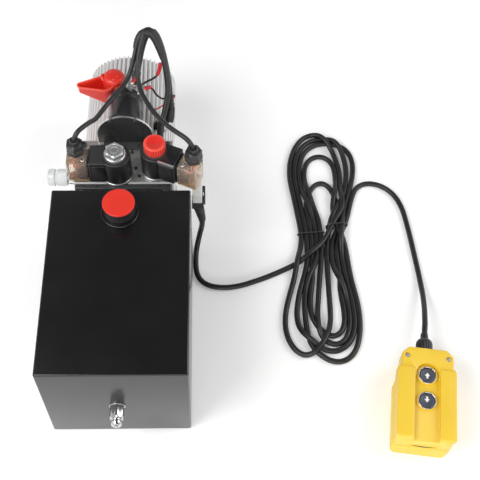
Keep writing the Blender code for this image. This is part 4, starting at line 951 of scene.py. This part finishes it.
def make_motor():
    low, high = span("motor_housing")
    axis = shift(0, low.y, (low.z + high.z) / 2) @ TURN_Y
    length = high.y - low.y
    piece("motor_fins", prism(fin_outline(), 0, length), "extruded", place=axis, stands_for="motor_housing",
          angle=30)
    cap_low, cap_high = span("motor_rear_cap")
    back = shift(0, cap_low.y, axis.translation.z) @ TURN_Y
    depth = cap_high.y - cap_low.y
    bell = piece("motor_end_bell", prism(fin_outline(MOTOR_RADIUS - 0.0008), 0, depth), "extruded",
                 place=back, stands_for="motor_rear_cap", angle=30)
    carve(bell, turned([(0.0200, -0.01), (0.0200, depth - 0.0100)], 64), place=back)
    carve(bell, turned([(0.0550, depth - 0.0040), (0.0566, depth + 0.01)], 96), place=back)
    boss = [(0.0245, depth - 0.0050), (0.0230, depth - 0.0012), (0.0215, depth - 0.0004),
            (0.0120, depth - 0.0004), (0.0110, depth - 0.0020)]
    piece("motor_end_boss", turned(boss, 72, 0.0005), "cast", place=back)
    bolts = []
    for angle in (45, 225):
        spot = turn_z(angle) @ shift(0.044, 0, depth - 0.0038)
        bolts.append((hex_bolt(0.0040, 0.0034), spot))
    piece("motor_tie_bolts", merged(bolts), "zinc", place=back)
    ribs = []
    for angle in range(0, 360, 60):
        rib = cuboid((0.0232, -0.0014, depth - 0.0042), (0.0538, 0.0014, depth - 0.0016), 0.0006)
        ribs.append((rib, turn_z(angle + 15)))
    piece("motor_end_ribs", merged(ribs), "cast", place=back)

    post = middle("motor_terminal")
    outward = Vector((post.x, 0, post.z - axis.translation.z)).normalized()
    seat = Vector((0, post.y, axis.translation.z)) + outward * (MOTOR_RADIUS - 0.0045)
    place = shift(*seat) @ outward.to_track_quat("Z", "Y").to_matrix().to_4x4()
    bush = [(0.0060, -0.003), (0.0086, -0.003), (0.0086, 0.0040), (0.0098, 0.0046), (0.0098, 0.0096),
            (0.0090, 0.0104), (0.0066, 0.0106)]
    piece("terminal_bush", turned(bush, 60, 0.0004), "plastic", place=place, stands_for="motor_terminal")
    nut = [(0.0040, 0.0104), (0.0086, 0.0106), (0.0086, 0.0116), (0.0068, 0.0118, 6), (0.0068, 0.0158, 6),
           (0.0062, 0.0168), (0.0038, 0.0169), (0.0038, 0.0206), (0.0030, 0.0216)]
    piece("terminal_nut", turned(nut, 60), "chrome", place=place)


# ---------------------------------------------------------------- relay

RELAY_CENTRE_Z = 0.180


def make_relay():
    can_low, can_high = span("relay_can")
    axis = shift(0, can_low.y, RELAY_CENTRE_Z) @ TURN_Y
    length = can_high.y - can_low.y
    can = [(0.0200, 0.0), (0.0248, 0.0), (0.0260, 0.0010), (0.0260, 0.0042), (0.0252, 0.0052),
           (0.0226, 0.0060), (0.0220, 0.0068), (0.0220, length - 0.0030), (0.0213, length - 0.0020),
           (0.0220, length - 0.0012), (0.0218, length), (0.0200, length)]
    piece("relay_housing", turned(can, 96, 0.0003), "can", place=axis, stands_for="relay_can")

    cap_low, cap_high = span("relay_cap")
    place = shift(0, cap_low.y, RELAY_CENTRE_Z) @ TURN_Y
    depth = cap_high.y - cap_low.y
    cap = [(0.0205, 0.0), (0.0220, 0.0004), (0.0220, depth - 0.0022), (0.0205, depth), (0.0080, depth)]
    piece("relay_head", turned(cap, 96, 0.0008), "plastic", place=place, stands_for="relay_cap")
    rib = cuboid((-0.0012, -0.0170, depth - 0.001), (0.0012, 0.0170, depth + 0.0050), 0.0006)
    collars = [(turned([(0.0042, depth - 0.001), (0.0075, depth - 0.001), (0.0075, depth + 0.0020),
                        (0.0042, depth + 0.0020)], 48, 0.0004, bored=True), shift(x))
               for x in (-0.012, 0.012)]
    piece("relay_head_ribs", merged([rib] + collars), "plastic", place=place)
    studs, nuts = [], []
    for node in ("relay_stud_motor", "relay_stud_battery"):
        spot = shift(middle(node).x, cap_high.y, RELAY_CENTRE_Z) @ TURN_Y
        reach = span(node)[1].y - cap_high.y
        rings = [(0.0040, -0.006)]
        for step in range(int((reach - 0.002) / 0.0012)):
            rings += [(0.0040, 0.001 + step * 0.0012), (0.0034, 0.0016 + step * 0.0012)]
        rings += [(0.0034, reach - 0.001), (0.0028, reach)]
        studs.append((turned(rings, 32), spot))
        nuts.append((turned([(0.0042, 0.0022), (0.0078, 0.0022), (0.0078, 0.0032), (0.0064, 0.0034, 6),
                             (0.0064, 0.0080, 6), (0.0058, 0.0090), (0.0042, 0.0091)], 60), spot))
    piece("relay_studs", merged(studs), "steel",
          stands_for=("relay_stud_motor", "relay_stud_battery"))
    piece("relay_nuts", merged(nuts), "zinc")
    make_bracket()
    make_relay_terminals(cap_high.y)


def make_bracket():
    low, high = span("relay_bracket")
    radius = (high.x - low.x) / 2
    thick = 0.0025
    crown = arc((0, high.z - radius), radius, 0, 180, 48)
    outline = [(x, -z) for x, z in crown] + [(-radius, -low.z - 0.0002), (radius, -low.z - 0.0002)]
    outline = list(reversed(outline))
    place = shift(0, high.y - thick, 0) @ TURN_Y
    edge = 0.0011
    piece("bracket_plate", prism(inset(outline, edge), 0.0, thick, 0.0003), "plate", place=place,
          stands_for="relay_bracket")
    # A bright zinc rim round the plate's edge: a painted highlight along the edge of the black plate.
    ring = loft([[(x, y, 0.0001) for x, y in inset(outline, edge)], [(x, y, 0.0001) for x, y in outline],
                 [(x, y, thick - 0.0001) for x, y in outline],
                 [(x, y, thick - 0.0001) for x, y in inset(outline, edge)]], closed=True)
    piece("bracket_edge_highlight", ring, "zinc", place=place)
    foot = cuboid((-0.030, low.y, low.z), (0.030, high.y - thick / 2, low.z + thick), 0.0006)
    piece("bracket_foot", foot, "plate")
    for number, (x, z) in enumerate(((-0.0185, 0.197), (0.0155, 0.1975))):
        screw(f"bracket_screw_{number}", shift(x, high.y - thick, z) @ BACK_Y, 0.0028, 0.0016, "plate")
    for x in (-0.021, 0.021):
        screw(f"foot_screw_{'a' if x < 0 else 'b'}", shift(x, low.y + 0.0055, low.z + thick), 0.0034,
              0.0022, "plate")


def lug(place, ring_radius, thickness, tail):
    """A crimped ring terminal: a ring, a flat neck and a barrel along +X."""
    ring = turned([(ring_radius * 0.5, 0), (ring_radius, 0), (ring_radius, thickness),
                   (ring_radius * 0.5, thickness)], 40, bored=True)
    neck = cuboid((ring_radius * 0.8, -ring_radius * 0.4, 0),
                  (ring_radius + tail * 0.5, ring_radius * 0.4, thickness), thickness * 0.3)
    barrel = tube([Vector((ring_radius + tail * s, 0, thickness + 0.0006)) for s in (0.35, 0.5, 0.9, 1.0)],
                  [ring_radius * 0.35, ring_radius * 0.46, ring_radius * 0.46, ring_radius * 0.42], 20)
    return [(part, place) for part in (ring, neck, barrel)]


def make_relay_terminals(face_y):
    """Two small control terminals on the relay's head, with red insulated lugs."""
    posts, lugs, sleeves = [], [], []
    for x, z, turn in ((0.0075, 0.2005, 70), (0.0195, 0.1915, 30)):
        spot = shift(x, face_y - 0.004, z)
        posts.append((turned([(0.0030, 0), (0.0030, 0.0046), (0.0034, 0.0048, 6), (0.0034, 0.0074, 6),
                              (0.0016, 0.0078), (0.0016, 0.0105)], 36), spot))
        place = spot @ shift(0, 0, 0.0034) @ turn_z(turn)
        lugs += lug(place, 0.0042, 0.0008, 0.0085)
        reach = [place @ Vector((0.0078 + s, 0, 0.0014)) for s in (0.0, 0.0012, 0.0085, 0.0100)]
        sleeves.append(tube(reach, [0.0022, 0.0026, 0.0026, 0.0018], 20))
    piece("control_posts", merged(posts), "nut")
    piece("control_lugs", merged(lugs), "zinc")
    piece("control_sleeves", merged(sleeves), "red_pvc")


# ---------------------------------------------------------------- battery boot


def make_boot():
    low, high = span("battery_boot")
    stud = middle("relay_stud_battery")
    stud_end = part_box("relay_stud_battery")[1][1]
    tip, right = (-0.0620, stud_end - 0.0085), (-0.0300, stud_end - 0.0070)
    rim, tip_base, right_base = high.z - 0.007, low.z + 0.005, low.z - 0.009

    def hull_ring(left_radius, right_radius, share, lift=0.0):
        ring = []
        for x, y in capsule(tip, left_radius, right, right_radius):
            along = min(1.0, max(0.0, (x - tip[0]) / (right[0] - tip[0])))
            base = tip_base + (right_base - tip_base) * along**1.3 + lift
            top = rim - 0.003 * (1 - along) ** 2
            ring.append(Vector((x, y, base + (top - base) * share)))
        return ring

    outside = [(0.0024, 0.0092, 0.0), (0.0032, 0.0108, 0.03), (0.0040, 0.0120, 0.20), (0.0046, 0.0138, 0.88),
               (0.0056, 0.0148, 0.90), (0.0058, 0.0150, 0.97), (0.0053, 0.0145, 1.0)]
    inside = [(0.0036, 0.0128, 1.0), (0.0030, 0.0122, 0.93), (0.0018, 0.0100, 0.30), (0.0012, 0.0090, 0.22)]
    boat = loft([hull_ring(*shape) for shape in outside + inside])
    boot = piece("battery_boot_trough", boat, "red", stands_for="battery_boot", angle=50)
    centre = shift(stud.x - 0.005, stud_end + 0.002, low.z - 0.006)
    height = high.z - low.z + 0.006
    neck = turned([(0.0150, 0.004), (0.0156, height - 0.010)], 48)
    carve(boot, neck, "UNION", place=centre)
    dome = [(0.0120, 0.0), (0.0138, 0.0010), (0.0148, 0.006), (0.0152, height - 0.0090),
            (0.0146, height - 0.0055), (0.0124, height - 0.0024), (0.0088, height - 0.0008),
            (0.0040, height - 0.0001)]
    piece("battery_boot_dome", turned(dome, 72, 0.0012), "red", place=centre)
    nubs = []
    for x, y, radius in ((-0.004, 0.004, 0.0026), (0.0052, -0.0030, 0.0022), (0.0010, -0.0085, 0.0018)):
        nubs.append((turned([(radius, height - 0.0035), (radius, height - 0.0012),
                             (radius * 0.5, height - 0.0001)], 24, 0.0005), shift(x, y)))
    strap = [Vector((-0.0140, -0.006, height - 0.006)), Vector((-0.0165, -0.002, height - 0.0035)),
             Vector((-0.0160, 0.003, height - 0.0045)), Vector((-0.0135, 0.006, height - 0.008))]
    nubs.append((tube(smooth_path(strap, 0.0015), 0.0017, 14), shift()))
    piece("battery_boot_nubs", merged(nubs), "red", place=centre)
    film = tube([Vector(p) for p in ((-0.0270, 0.2880, 0.1660), (-0.0235, 0.2865, 0.1700),
                                     (-0.0195, 0.2855, 0.1755), (-0.0165, 0.2850, 0.1815),
                                     (-0.0150, 0.2848, 0.1850))], [0.0030, 0.0048, 0.0052, 0.0046, 0.0034],
                24)
    piece("stud_label_sleeve", film, "pink")


# ---------------------------------------------------------------- cables on the unit

MOTOR_CABLE_ROUTE = [
    (12, 307.6, 180), (13, 318, 183), (17, 331, 198), (23, 341, 221), (31, 346, 239), (40, 341, 246),
    (48, 330, 235), (54, 317, 213), (58, 303, 190), (59.5, 290, 171), (59, 279, 157),
]
LEAD_A_ROUTE = [
    (-59, 182, 214.8), (-59, 182, 219), (-54, 188, 225), (-43, 202, 223), (-35, 216, 215), (-28, 234, 209),
    (-18, 252, 209), (-5, 268, 213), (6, 284, 221), (13, 302, 234), (18, 319, 247), (22.5, 330, 254),
]
LEAD_B_ROUTE = [
    (92.1, 169.8, 214.8), (92.1, 169.8, 219), (85, 176, 225), (71, 188, 225), (58, 202, 222), (45, 220, 219),
    (33, 241, 217), (23, 262, 219), (19, 282, 226), (20, 303, 239), (24, 318, 251), (27, 325.5, 257.5),
]
LOOM_ROUTE = [
    (29, 331.5, 259), (34, 332.5, 259.5), (40, 330, 255.5), (46, 322, 245.5), (52, 311, 229.5), (56.5, 299, 208),
    (57.5, 287, 188), (54.5, 273, 173.5), (50.5, 259, 164), (47.5, 244, 158), (47.5, 230, 156), (53, 217.5, 156),
    (62, 209.5, 155.5), (70.5, 204.5, 151), (77.5, 198, 141.5), (86, 189.5, 132.5), (94, 180, 128.3),
    (98, 173, 128), (98, 167.4, 128),
]

WRAP_ROUTE = [
    (16, 314, 243), (19.5, 322.5, 250), (24.5, 328.5, 254.5), (30.5, 330.5, 256), (36.5, 330, 255.4),
    (42, 326.5, 251), (47.5, 319, 241), (52, 310, 228),
]


def make_cables():
    cable("motor_lead", MOTOR_CABLE_ROUTE, 0.009, "motor_cable")
    cable("valve_a_cable", LEAD_A_ROUTE, 0.0065, "valve_a_lead")
    cable("valve_b_cable", LEAD_B_ROUTE, 0.0065, "valve_b_lead")
    cable("harness_cable", LOOM_ROUTE, 0.0078, "harness_loom")
    loom = smooth_path(millimetres(LOOM_ROUTE), 0.002)
    band("loom_sleeve_low", loom, 0.56, 0.64, 0.0048, -0.0006)
    wrap = smooth_path(millimetres(WRAP_ROUTE), 0.0015)
    shares = [index / (len(wrap) - 1) for index in range(len(wrap))]
    radii = [0.0038 + 0.0026 * math.sin(math.pi * share) ** 0.8 - (0.0002 if index % 3 == 0 else 0)
             for index, share in enumerate(shares)]
    piece("loom_wrap", tube(wrap, radii, 28), "rubber", angle=60)
    motor = smooth_path(millimetres(MOTOR_CABLE_ROUTE), 0.002)
    band("motor_lead_sleeve", motor, 0.0, 0.09, 0.0056, -0.0005)
    end = motor[-1]
    post = middle("motor_terminal")
    axis_z = middle("motor_housing").z
    outward = Vector((post.x, 0, post.z - axis_z)).normalized()
    seat = Vector((0, post.y, axis_z)) + outward * (MOTOR_RADIUS + 0.0165)
    boot = smooth_path([motor[-12], motor[-6], end, end.lerp(seat, 0.55), seat], 0.0015)
    shares = [index / (len(boot) - 1) for index in range(len(boot))]
    radii = [0.0055 + 0.0032 * min(1, max(0, (s - 0.25) / 0.5)) +
             (0.0006 if round(s * 26) % 4 == 0 and s < 0.6 else 0) for s in shares]
    piece("motor_lead_boot", tube(boot, radii, 28), "rubber", angle=50)
    lower = Vector((0, post.y, axis_z)) + outward * (MOTOR_RADIUS + 0.0072)
    ring = tube([lower, lower + outward * 0.0006, lower + outward * 0.0030, lower + outward * 0.0052,
                 lower + outward * 0.0062], [0.0090, 0.0102, 0.0100, 0.0080, 0.0050], 40)
    piece("terminal_dome", ring, "chrome")
    make_small_wires()


def make_small_wires():
    """The relay's thin control wires and their red joints."""
    thin_red = [(35, 271, 166), (43, 277, 163), (52.5, 285, 163), (59, 291, 163.5), (66, 299.5, 161)]
    thin_black = [(27, 285, 199), (31, 290, 192), (36, 293.5, 185), (41, 291, 176), (49, 290.5, 168),
                  (57, 294, 165), (66, 300.5, 163)]
    upper = [(47.5, 312, 216), (46.5, 310.5, 208), (43.5, 306, 200.5), (37, 302, 196.5), (28, 297.5, 195),
             (21, 292, 195), (17, 287.5, 196)]
    stray = [(12.5, 286, 203), (10.5, 295, 208), (10, 306, 216), (12, 315, 228), (15.5, 322, 241),
             (20, 328, 251)]
    for name, route, radius, finish in (
            ("thin_red_wire", thin_red, 0.0011, "red_pvc"),
            ("thin_black_wire", thin_black, 0.0013, "sheath"),
            ("control_wire_upper", upper, 0.0015, "sheath"),
            ("control_wire_stray", stray, 0.0017, "sheath")):
        path = smooth_path(millimetres(route), 0.0015)
        piece(name, tube(path, radius, 14), finish, angle=60)
    joints = []
    for route in ([(47.6, 312.2, 216.5), (46.4, 310, 207), (43, 305.5, 199.5)],
                  [(63.5, 296.8, 163), (59, 291, 163.5), (54.5, 287, 163.2)]):
        path = smooth_path(millimetres(route), 0.0012)
        radii = [0.0027 - 0.0008 * abs(2 * i / (len(path) - 1) - 1) ** 6 for i in range(len(path))]
        joints.append(tube(path, radii, 18))
    piece("wire_joints", merged(joints), "red_pvc")


# ---------------------------------------------------------------- harness connector and plug


def make_harness_connector():
    low, high = span("harness_connector")
    x, y = (low.x + high.x) / 2, (low.y + high.y) / 2
    half = Vector(((high.x - low.x) / 2, (high.y - low.y) / 2))
    body = piece("connector_housing", cuboid(low, high, 0.0012, 4), "nylon", stands_for="harness_connector")
    for z in (low.z + 0.012, high.z - 0.012):
        groove = cuboid((low.x - 0.001, low.y - 0.001, z - 0.0006),
                        (high.x + 0.001, low.y + 0.0008, z + 0.0006), 0)
        carve(body, groove)
    ribs = [cuboid((low.x + 0.0022 + step * 0.0032, low.y - 0.0002, low.z + 0.016),
                   (low.x + 0.0034 + step * 0.0032, low.y + 0.0010, high.z - 0.016), 0.0003)
            for step in range(3)]
    piece("connector_ribs", merged(ribs), "nylon")
    plug_low, plug_high = span("cord_plug")
    top = low.z - 0.0003
    rings = []
    for radius, lean, height, sides in ((0.0070, 0, top, 4), (0.0076, 0, top - 0.0010, 4),
                                        (0.0076, 0, top - 0.0115, 4), (0.0070, 0.0005, top - 0.0130, 4)):
        rings.append([p + Vector((x + lean, y, 0)) for p in ring_points(radius, height, 48, sides)])
    shape = [(0.0062, 0.0008, 0.0132), (0.0074, 0.0010, 0.0150), (0.0076, 0.0014, 0.0185),
             (0.0071, 0.0022, 0.0225)]
    for step in range(5):
        drop = 0.0235 + step * 0.0055
        radius = 0.0070 - step * 0.00042
        lean = 0.0024 + step * 0.0008
        shape += [(radius, lean, drop), (radius, lean + 0.0004, drop + 0.0034),
                  (radius - 0.0010, lean + 0.0004, drop + 0.0038),
                  (radius - 0.0010, lean + 0.0006, drop + 0.0052)]
    shape.append((0.0048, 0.006, top - plug_low.z))
    for radius, lean, drop in shape:
        rings.append([p + Vector((x + lean, y, 0)) for p in ring_points(radius, top - drop, 48)])
    piece("cord_plug_boot", loft(rings), "rubber", stands_for="cord_plug", angle=32)
    latch = piece("plug_latch", cuboid((x + half.x + 0.0003, y - 0.0035, top - 0.008),
                                       (plug_high.x, y + 0.0035, high.z - 0.012), 0.0007), "plastic")
    carve(latch, cuboid((x + half.x + 0.0012, y - 0.006, top + 0.004),
                        (x + half.x + 0.0022, y + 0.006, high.z - 0.018), 0))


# ---------------------------------------------------------------- pendant

PENDANT_TURN = -7.8
PENDANT_END, PENDANT_HALF = 0.0635, 0.038
PENDANT_SPLIT, PENDANT_TOP, CHANNEL_FLOOR = 0.030, 0.062, 0.054
CHANNEL_HALF = 0.0165
BUTTONS = {"up": 0.0265, "down": -0.009}
ARROW_SHIFTS = {"up": -0.0012, "down": 0.0022}
PANEL_RISE = 0.0013
SLOT_STEPS, SLOT_HALF = 12, 0.0180
HEAD_HALF, WAIST_Y = 0.0340, 0.0345


def make_pendant():
    centre = middle("pendant_back")
    axis = shift(centre.x, centre.y, 0) @ turn_z(PENDANT_TURN)
    half, end = PENDANT_HALF, PENDANT_END
    head, waist = HEAD_HALF, WAIST_Y
    plan = [(-half, -end + 0.004), (-half + 0.004, -end), (half - 0.007, -end), (half, -end + 0.007),
            (half, waist), (head, waist + 0.0022), (head, end - 0.009), (head - 0.009, end),
            (-head + 0.009, end), (-head, end - 0.009), (-head, waist + 0.0022), (-half, waist)]
    plan = rounded_outline(plan, 0.0018, 4)
    front = piece("pendant_cover", prism(plan, PENDANT_SPLIT + 0.0004, PENDANT_TOP - PANEL_RISE, 0.0026, 5),
                  "yellow", place=axis, stands_for="pendant_front")
    for side in (-1, 1):
        middle_x, half_width = side * (half + CHANNEL_HALF) / 2, (half - CHANNEL_HALF) / 2
        panel = rectangle(middle_x - half_width - 0.001, -end + 0.0012,
                          middle_x + half_width - 0.0004 * side, waist, 0.0035)
        carve(front, prism(panel, PENDANT_TOP - 0.008, PENDANT_TOP, 0.0020, 4), "UNION", place=axis)
    channel = rounded_outline([(-CHANNEL_HALF, -end - 0.02), (CHANNEL_HALF, -end - 0.02),
                               (CHANNEL_HALF, 0.0225), (0.0090, 0.0335), (-0.0090, 0.0335),
                               (-CHANNEL_HALF, 0.0225)], 0.004, 4)
    dish = turned([(0.0152, CHANNEL_FLOOR), (0.0152, PENDANT_TOP + 0.01)], 72)
    carve(front, prism(channel, CHANNEL_FLOOR, PENDANT_TOP + 0.01), place=axis)
    carve(front, dish, place=axis @ shift(0, BUTTONS["up"], 0), ease=0.0011)
    for y in BUTTONS.values():
        carve(front, turned([(0.0105, CHANNEL_FLOOR - 0.008), (0.0105, PENDANT_TOP + 0.01)], 64),
              place=axis @ shift(0, y))
    crescent = []
    for step in range(-SLOT_STEPS, SLOT_STEPS + 1):
        share = step / SLOT_STEPS
        low, high = PENDANT_SPLIT + 0.0010 + 0.0062 * share**2, PENDANT_SPLIT + 0.0062 + 0.0018 * share**2
        crescent.append((share * SLOT_HALF, low, high))

    def slot_body(front_y, depth):
        return loft([[(x, front_y, low), (x, -end + depth, low), (x, -end + depth, high), (x, front_y, high)]
                     for x, low, high in crescent])

    carve(front, slot_body(-end - 0.004, 0.0050), place=axis)
    # A dark insert at the back of the end recess: painted shade inside the slot.
    piece("pendant_slot_shade_insert", slot_body(-end + 0.0009, 0.0046), "rubber", place=axis)

    low_plan = [(-half, -end + 0.004), (-half + 0.004, -end), (half - 0.007, -end), (half, -end + 0.007),
                (half, 0.026), (0.0325, 0.040), (0.0325, end - 0.010), (0.0235, end - 0.0002),
                (-0.0235, end - 0.0002), (-0.0325, end - 0.010), (-0.0325, 0.040), (-half, 0.026)]
    piece("pendant_case", prism(rounded_outline(low_plan, 0.0018, 4), 0.0001, PENDANT_SPLIT - 0.0004,
                                0.0022, 5), "yellow", place=axis, stands_for="pendant_back")
    seam = prism(inset(rounded_outline(low_plan, 0.0018, 4), 0.0012), PENDANT_SPLIT - 0.0012,
                 PENDANT_SPLIT + 0.0012)
    piece("pendant_seal", seam, "rubber", place=axis)
    for side in (-1, 1):
        spot = axis @ shift(side * 0.0270, 0.0505, PENDANT_TOP - 0.0030)
        well = turned([(0.0036, 0), (0.0036, 0.01)], 40)
        carve(front, well, place=spot)
        screw(f"pendant_screw_{'left' if side < 0 else 'right'}", spot, 0.0029, 0.0014, "nut")

    collars, rings = [], []
    floor = CHANNEL_FLOOR
    for y in BUTTONS.values():
        collar = [(0.0122, floor - 0.0005), (0.0138, floor - 0.0005), (0.0137, floor + 0.0019),
                  (0.0129, floor + 0.0027), (0.0122, floor + 0.0027)]
        ring = [(0.0103, floor - 0.003), (0.0121, floor - 0.003), (0.0121, floor + 0.0025),
                (0.0117, floor + 0.0030), (0.0111, floor + 0.0031), (0.0106, floor + 0.0027),
                (0.0103, floor + 0.0020)]
        collars.append((turned(collar, 72, 0.0004, bored=True), shift(0, y)))
        rings.append((turned(ring, 72, 0.0003, bored=True), shift(0, y)))
    piece("button_collars", merged(collars), "yellow", place=axis)
    piece("button_bezels", merged(rings), "chrome", place=axis, stands_for="pendant_bezels")
    for label, y in BUTTONS.items():
        face = [(0.0040, floor - 0.012), (0.0099, floor - 0.009), (0.0100, floor + 0.0012),
                (0.0096, floor + 0.0020), (0.0084, floor + 0.0023), (0.0078, floor + 0.0020),
                (0.0030, floor + 0.0017), (0.0010, floor + 0.0016)]
        piece(f"button_{label}_cap", turned(face, 72, 0.0003), "grey", f"{label}_button", axis @ shift(0, y),
              f"pendant_button_{label}")
        sign = 1 if label == "up" else -1
        head_up = [(0.0034, 0.0002), (0.0, 0.0046), (-0.0034, 0.0002), (-0.0013, 0.0002), (-0.0013, -0.0034),
                   (0.0013, -0.0034), (0.0013, 0.0002)]
        arrow = [(sign * x, sign * z + ARROW_SHIFTS[label]) for x, z in head_up]
        piece(f"button_{label}_arrow", prism(arrow, floor + 0.0008, floor + 0.0021), "arrow",
              f"{label}_button", axis @ shift(0, y))

    mouth = axis @ shift(0, end, PENDANT_SPLIT) @ TURN_Y
    gland = [(0.0078, -0.004), (0.0078, 0.0003), (0.0110, 0.0004, 1), (0.0114, 0.0060, 1),
             (0.0114, 0.0190, 1), (0.0110, 0.0215), (0.0098, 0.0240), (0.0080, 0.0256), (0.0062, 0.0264),
             (0.0055, 0.0280), (0.0052, 0.0330), (0.0047, 0.0358)]
    piece("cord_grommet", gripped(gland, 18, 0.0009), "plastic", place=mouth, stands_for="pendant_gland")


HANK_MIDDLE, HANK_HALF, WAIST = 0.290, 0.050, 0.286
TIE_REACH, TIE_GAP = 0.004, 0.0048


def make_cord_ties(path):
    """A thin tie round each bundle at the hank's waist."""
    for name, y, side in (("hank_tie_left", 0.1690, -1), ("hank_tie_right", 0.1800, 1)):
        near = [p for p in path if abs(p.y - y) < TIE_REACH and abs(p.x - HANK_MIDDLE) < HANK_HALF
                and (p.x - WAIST) * side > 0]
        x0, x1 = min(p.x for p in near) - TIE_GAP, max(p.x for p in near) + TIE_GAP
        z0, z1 = 0.0013, max(p.z for p in near) + TIE_GAP
        cx, cz = (x0 + x1) / 2, (z0 + z1) / 2
        loop = []
        for step in range(28):
            angle = 2 * math.pi * step / 28
            c, s = math.cos(angle), math.sin(angle)
            loop.append(Vector((cx + (x1 - cx) * math.copysign(abs(c) ** 0.6, c), y + 0.002 * c,
                                cz + (z1 - cz) * math.copysign(abs(s) ** 0.6, s))))
        cable_tie(name, loop)


# ---------------------------------------------------------------- the CAD nodes that stay in view

NODE_FINISHES = {
    "paint": ("tank_flange",),
    "rubber": ("filler_seal",),
    "cast": ("pump_body", "pump_cover"),
    "steel": ("pump_drive_gear", "pump_idler_gear", "valve_a_spool", "valve_b_spool", "motor_shaft",
              "shaft_coupling", "relay_plunger"),
    "zinc": ("suction_strainer",),
    "milled": ("manifold_block",),
    "plate": ("motor_front_plate",),
    "chrome": ("motor_front_bearing", "motor_rear_bearing"),
    "copper": ("motor_armature",),
    "iron": ("motor_magnet", "motor_brush_ring"),
    "plastic": ("pendant_switches",),
}


def finish_nodes():
    for finish, names in NODE_FINISHES.items():
        for name in names:
            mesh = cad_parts[name].data
            mesh.materials.clear()
            mesh.materials.append(FINISH[finish])


bpy.context.scene.view_settings.view_transform = "Standard"
FINISH = make_materials()
make_camera()
make_world()
make_stage()
cord, cord_path = make_cord()
make_tank()
make_manifold()
for valve in VALVE_TURNS:
    make_valve(valve)
make_motor()
make_relay()
make_boot()
make_cables()
make_harness_connector()
make_pendant()
make_cord_ties(cord_path)
finish_nodes()
